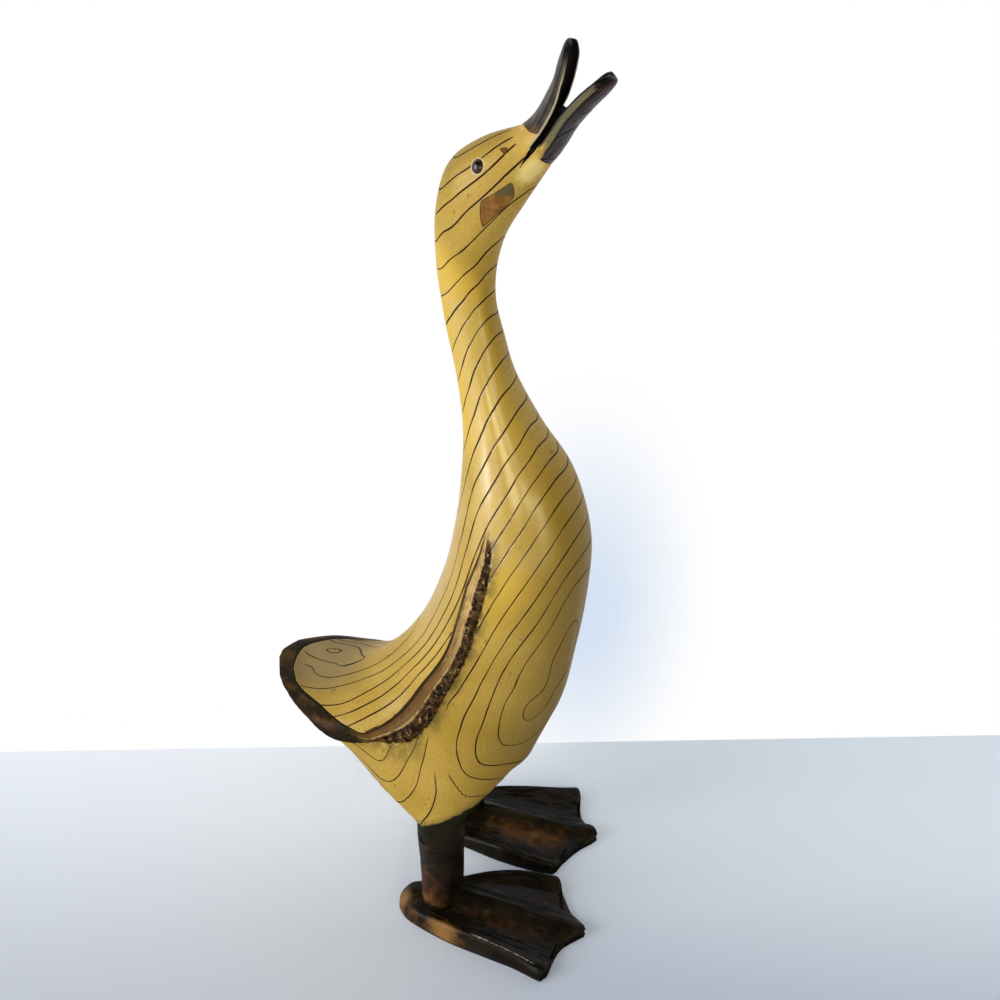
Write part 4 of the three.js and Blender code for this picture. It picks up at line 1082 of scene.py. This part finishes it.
# Rubbed and gold worn places of a foot, and its painted highlight along the outer ridge, by shares of length and
# breadth
def footWear(s, t, fromSide, side):
    web = bell(t, 0.7, 0.13) * smooth(s, 0.35, 0.6) + 0.7 * bell(t, 0.3, 0.12) * smooth(s, 0.4, 0.7)
    if side > 0:
        web = 1.5 * bell(t, 0.3, 0.13) * smooth(s, 0.4, 0.7) + 0.5 * (1 - smooth(t, 0.0, 0.12)) * smooth(s, 0.2, 0.4)
    rub = 0.62 * web * (1 - smooth(s, 0.86, 1.0)) + 0.6 * smooth(t, 0.75, 1.0) * (1 - smooth(s, 0.5, 0.8))
    gold = 0.95 * bell(t, 1.0, 0.1) * bell(s, 0.49, 0.07) + 0.8 * bell(t, 0.8, 0.35) * bell(s, 0.16, 0.15)
    # painted highlight along the crest of the outer ridge
    wornEdge = bell(fromSide, 1.8, 0.55) * (t > 0.5) * between(s, 0.5, 0.66, 0.93, 0.97) * (0.8 if side < 0 else 0.3)
    return {"rub": rub, "gold": gold, "wornEdge": wornEdge, "line": 0 * t}


# The foot as rings from heel to tips: over the top from the inner to the outer side, down and back underneath
def footShape(side):
    rows, columns, heel = footForm["rows"], footForm["columns"], footForm["heelShare"]
    s = (heel + (1 - heel) * np.linspace(0, 1, rows) ** 0.9)[:, None]
    even = np.linspace(0, 1, columns)[None, :]
    s, t = np.broadcast_arrays(s, 0.35 * (0.5 - 0.5 * np.cos(np.pi * even)) + 0.65 * even)
    plan = footPlan(s, t)
    breadth = np.linalg.norm(plan[:, -1] - plan[:, 0], axis=1)[:, None]
    fromSide = np.minimum(t, 1 - t) * breadth
    fromEnd = np.minimum((1.0 - s) * footForm["length"], (s - heel) * footForm["length"] + 0.4)
    rounded = lambda d: np.sqrt(1 - (1 - np.clip(d / footForm["round"], 0, 1)) ** 2)
    chisel = 0.8 * (lumps(np.stack([s * 9, t * 26, s * 0 + side], -1), 1.0) - 0.5)
    chisel = chisel + 0.5 * (lumps(np.stack([s * 30, t * 60, s * 0], -1), 1.0) - 0.5)
    height = footTop(s, t) * (0.55 + 0.45 * rounded(fromSide) * rounded(fromEnd))
    height = height + chisel * smooth(fromSide, 0.5, 4.0) * smooth(s, 0.3, 0.5)
    middle = plan[:, columns // 2]

    def wall(column):
        away = plan[:, column] - middle
        foot = plan[:, column] + footForm["bulge"] * away / np.linalg.norm(away, axis=1)[:, None]
        return np.stack([np.concatenate([foot, height[:, column, None] * d], -1) for d in (0.66, 0.33)], 1)

    sole = plan[:, ::-footForm["soleStep"]]
    sole = np.concatenate([sole, np.zeros(sole.shape[:2] + (1,))], -1)
    upper = np.concatenate([plan, height[..., None]], -1)
    x, y, z = np.moveaxis(np.concatenate([upper, wall(-1), sole, wall(0)[:, ::-1]], 1), -1, 0)
    a = math.radians(footForm["leftTurn"] if side > 0 else 0.0)
    points, triangles = closedStack(np.stack([
        legPlace["x"] + x * math.cos(a) + y * math.sin(a),
        side * (legAside(side > 0) + y * math.cos(a) - x * math.sin(a)), z], -1))
    below = np.zeros(sole.shape[:2])
    full = lambda value: withEnds(np.concatenate([value, value[:, [-1, -1]], below, value[:, [0, 0]]], 1), 0, 0)
    return points, triangles, {key: full(value) for key, value in footWear(s, t, fromSide, side).items()}


for side, name in ((1, "left"), (-1, "right")):
    for node, suffix, shape in (("_leg", "_post", legShape), ("_foot", "_carving", footShape)):
        points, triangles, values = shape(side)
        makePiece(name + node + suffix, points, triangles, footStain, [name + node], values)

# Hidden fixings keep their shapes
look = colours(pale=(214, 184, 138), deep=(186, 150, 102), steel=(168, 166, 160))
bareWood, tree, shader = newMaterial("bare_wood", 0.7, 0.0, 0.03, 0.4)
feed("Base Color", mixColours(reach(speckle(0.003, 4.0), 0.3, 0.7), "pale", "deep"))
screwSteel, tree, shader = newMaterial("screw_steel", 0.35, 0.0, 0.03, 0.5)
shader.inputs["Base Color"].default_value = look["steel"]
shader.inputs["Metallic"].default_value = 1.0
feed("Roughness", reach(speckle(0.002, 3.0), 0.3, 0.7, 0.28, 0.45))
fixings = ((bareWood, ("upper_bill_peg", "lower_bill_peg", "left_hip_dowel", "right_hip_dowel")),
           (screwSteel, ("left_foot_screw", "right_foot_screw")))
for material, names in fixings:
    for name in names:
        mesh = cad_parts[name].data
        mesh.materials.clear()
        mesh.materials.append(material)

stageForm = {
    # the wall stands on a line through two floor points in mm, carried on both ways; sizes in metres
    "wallStart": (-315.4, 69.5, 0.0), "wallEnd": (400.1, 192.3, 0.0), "beyond": 4.0, "floorDepth": 6.0,
    "wallHeight": 4.0,
    # middle of the soft shade on the wall, in mm
    "shadeAt": (97.0, 140.3, 115.0),
}
look = colours(shade=(214, 226, 243), floor=(196, 204, 224), floorRight=(148, 160, 202), floorBack=(236, 244, 255))
white = (1, 1, 1, 1)


# Light of one tint and strength given off
def glowing(tint, strength=1.0):
    return addNode("ShaderNodeEmission", {"Color": tint, "Strength": strength}).outputs[0]


# The first shader at share 0, the second at share 1
def mixShaders(share, first, second):
    return addNode("ShaderNodeMixShader", {0: share, 1: first, 2: second}).outputs[0]


# Seen from the front the wall is white, with a soft cool shade beside the breast; it lights the bird only as much as
# paper does, and from behind it is clear
wallLook, tree, shader = newMaterial("pale_wall", 0.9, 0.0, 0.03, 0.2)
shader.inputs["Base Color"].default_value = (0.8, 0.82, 0.85, 1)
dim = reach(ovalDistance(toFrame([stageForm["shadeAt"]])[0], (17.9, 3.1, 0), (0, 0, 9.1)), 1.7, 0.1)
glow = glowing(mixColours(dim, white, "shade"))
path = addNode("ShaderNodeLightPath").outputs
seen = sums("MAXIMUM", path["Is Camera Ray"], path["Is Glossy Ray"], path["Is Transmission Ray"])
behind = addNode("ShaderNodeNewGeometry").outputs["Backfacing"]
clear = addNode("ShaderNodeBsdfTransparent").outputs[0]
surface = mixShaders(behind, mixShaders(seen, shader.outputs[0], glow), clear)
tree.links.new(surface, tree.nodes["Material Output"].inputs[0])

# The floor has painted shade, darker and bluer, on the right, and painted light towards the back by the wall, a lighter
# colour and a glow; far off it goes over into white
floorLook, tree, shader = newMaterial("pale_floor", 0.6, 0.0, 0.03, 0.2)
place = objectPlace()
right, back, _ = addNode("ShaderNodeSeparateXYZ", {0: place}).outputs
right = product(reach(right, -0.05, 0.13), reach(back, -0.18, -0.07))
far = reach(vectors("LENGTH", place).outputs["Value"], 0.7, 1.3)
shade = mixColours(right, "floor", "floorRight")
feed("Base Color", mixColours(reach(back, -0.3, 0.12), shade, "floorBack"))
# painted light: the floor glows more towards the back, bluer on the right
shine = mixColours(right, (0.92, 0.94, 1, 1), (0.7, 0.92, 1.3, 1))
shine = {0: shader.outputs[0], 1: glowing(shine, reach(back, -0.25, 0.2, 0.0, 0.2))}
surface = mixShaders(far, addNode("ShaderNodeAddShader", shine).outputs[0], glowing(white))
seen = addNode("ShaderNodeLightPath").outputs["Is Camera Ray"]
tree.links.new(mixShaders(seen, shader.outputs[0], surface), tree.nodes["Material Output"].inputs[0])


# A flat sheet of the stage from its four corners
def makeSheet(name, corners, material):
    mesh = bpy.data.meshes.new(name)
    mesh.from_pydata([tuple(corner) for corner in corners], [], [(0, 1, 2, 3)])
    sheet = bpy.data.objects.new(name, mesh)
    scene.collection.objects.link(sheet)
    mesh.materials.append(material)


wallStart, wallEnd = toFrame([stageForm["wallStart"], stageForm["wallEnd"]])
wallWay = (wallEnd - wallStart) / np.linalg.norm(wallEnd - wallStart)
leftEnd, rightEnd = wallStart - stageForm["beyond"] * wallWay, wallEnd + stageForm["beyond"] * wallWay
front = np.array([wallWay[1], -wallWay[0], 0.0]) * stageForm["floorDepth"]
rise = np.array([0, 0, stageForm["wallHeight"]])
makeSheet("floor", [leftEnd + front, rightEnd + front, rightEnd - front, leftEnd - front], floorLook)
makeSheet("wall", [leftEnd, rightEnd, rightEnd + rise, leftEnd + rise], wallLook)

viewForm = {"place": (154.61, -669.8, 640.0), "pitch": 61.5, "yaw": 8.2, "lens": 50.4}
lens = bpy.data.cameras.new("camera")
lens.lens, lens.sensor_width, lens.clip_start, lens.clip_end = viewForm["lens"], 36.0, 0.01, 50.0
camera = bpy.data.objects.new("camera", lens)
camera.location = toFrame([viewForm["place"]])[0]
camera.rotation_euler = (math.radians(viewForm["pitch"]), 0.0, math.radians(viewForm["yaw"]))
scene.collection.objects.link(camera)
scene.camera = camera

lamps = {
    # place, height aimed at above the middle, size, watts, tint
    "left_window": ((-2.65, -1.85, 1.2), 0.25, (2.2, 2.2), 77.0, (1, 1, 1)),
    "front_window": ((-1.2, -2.4, 0.9), 0.25, (2.2, 2.2), 17.0, (1, 1, 1)),
    "right_pane_one": ((0.58, -1.48, 0.78), 0.3, (0.5, 0.8), 5.8, (1.0, 0.9, 0.58)),
    "right_pane_two": ((1.13, -1.13, 0.66), 0.3, (0.34, 0.55), 2.0, (1.0, 0.9, 0.58)),
    "right_pane_three": ((1.39, -0.8, 0.34), 0.3, (0.3, 0.5), 1.2, (1.0, 0.9, 0.58)),
}
for name, (place, aim, size, power, tint) in lamps.items():
    light = bpy.data.lights.new(name, "AREA")
    light.shape, light.size, light.size_y = "RECTANGLE", size[0], size[1]
    light.energy, light.color = power, tint
    lamp = bpy.data.objects.new(name, light)
    lamp.location = place
    lamp.rotation_euler = (Vector((0, 0, aim)) - Vector(place)).to_track_quat("-Z", "Y").to_euler()
    scene.collection.objects.link(lamp)

world = bpy.data.worlds.new("room")
scene.world = world
world.use_nodes = True
tree = world.node_tree
shader = tree.nodes["Background"]
shader.inputs["Color"].default_value = (1.0, 0.99, 0.97, 1)
feed("Strength", mixNumbers(addNode("ShaderNodeLightPath").outputs["Is Camera Ray"], 0.1, 1.0))
print("stage, camera and lamps set")
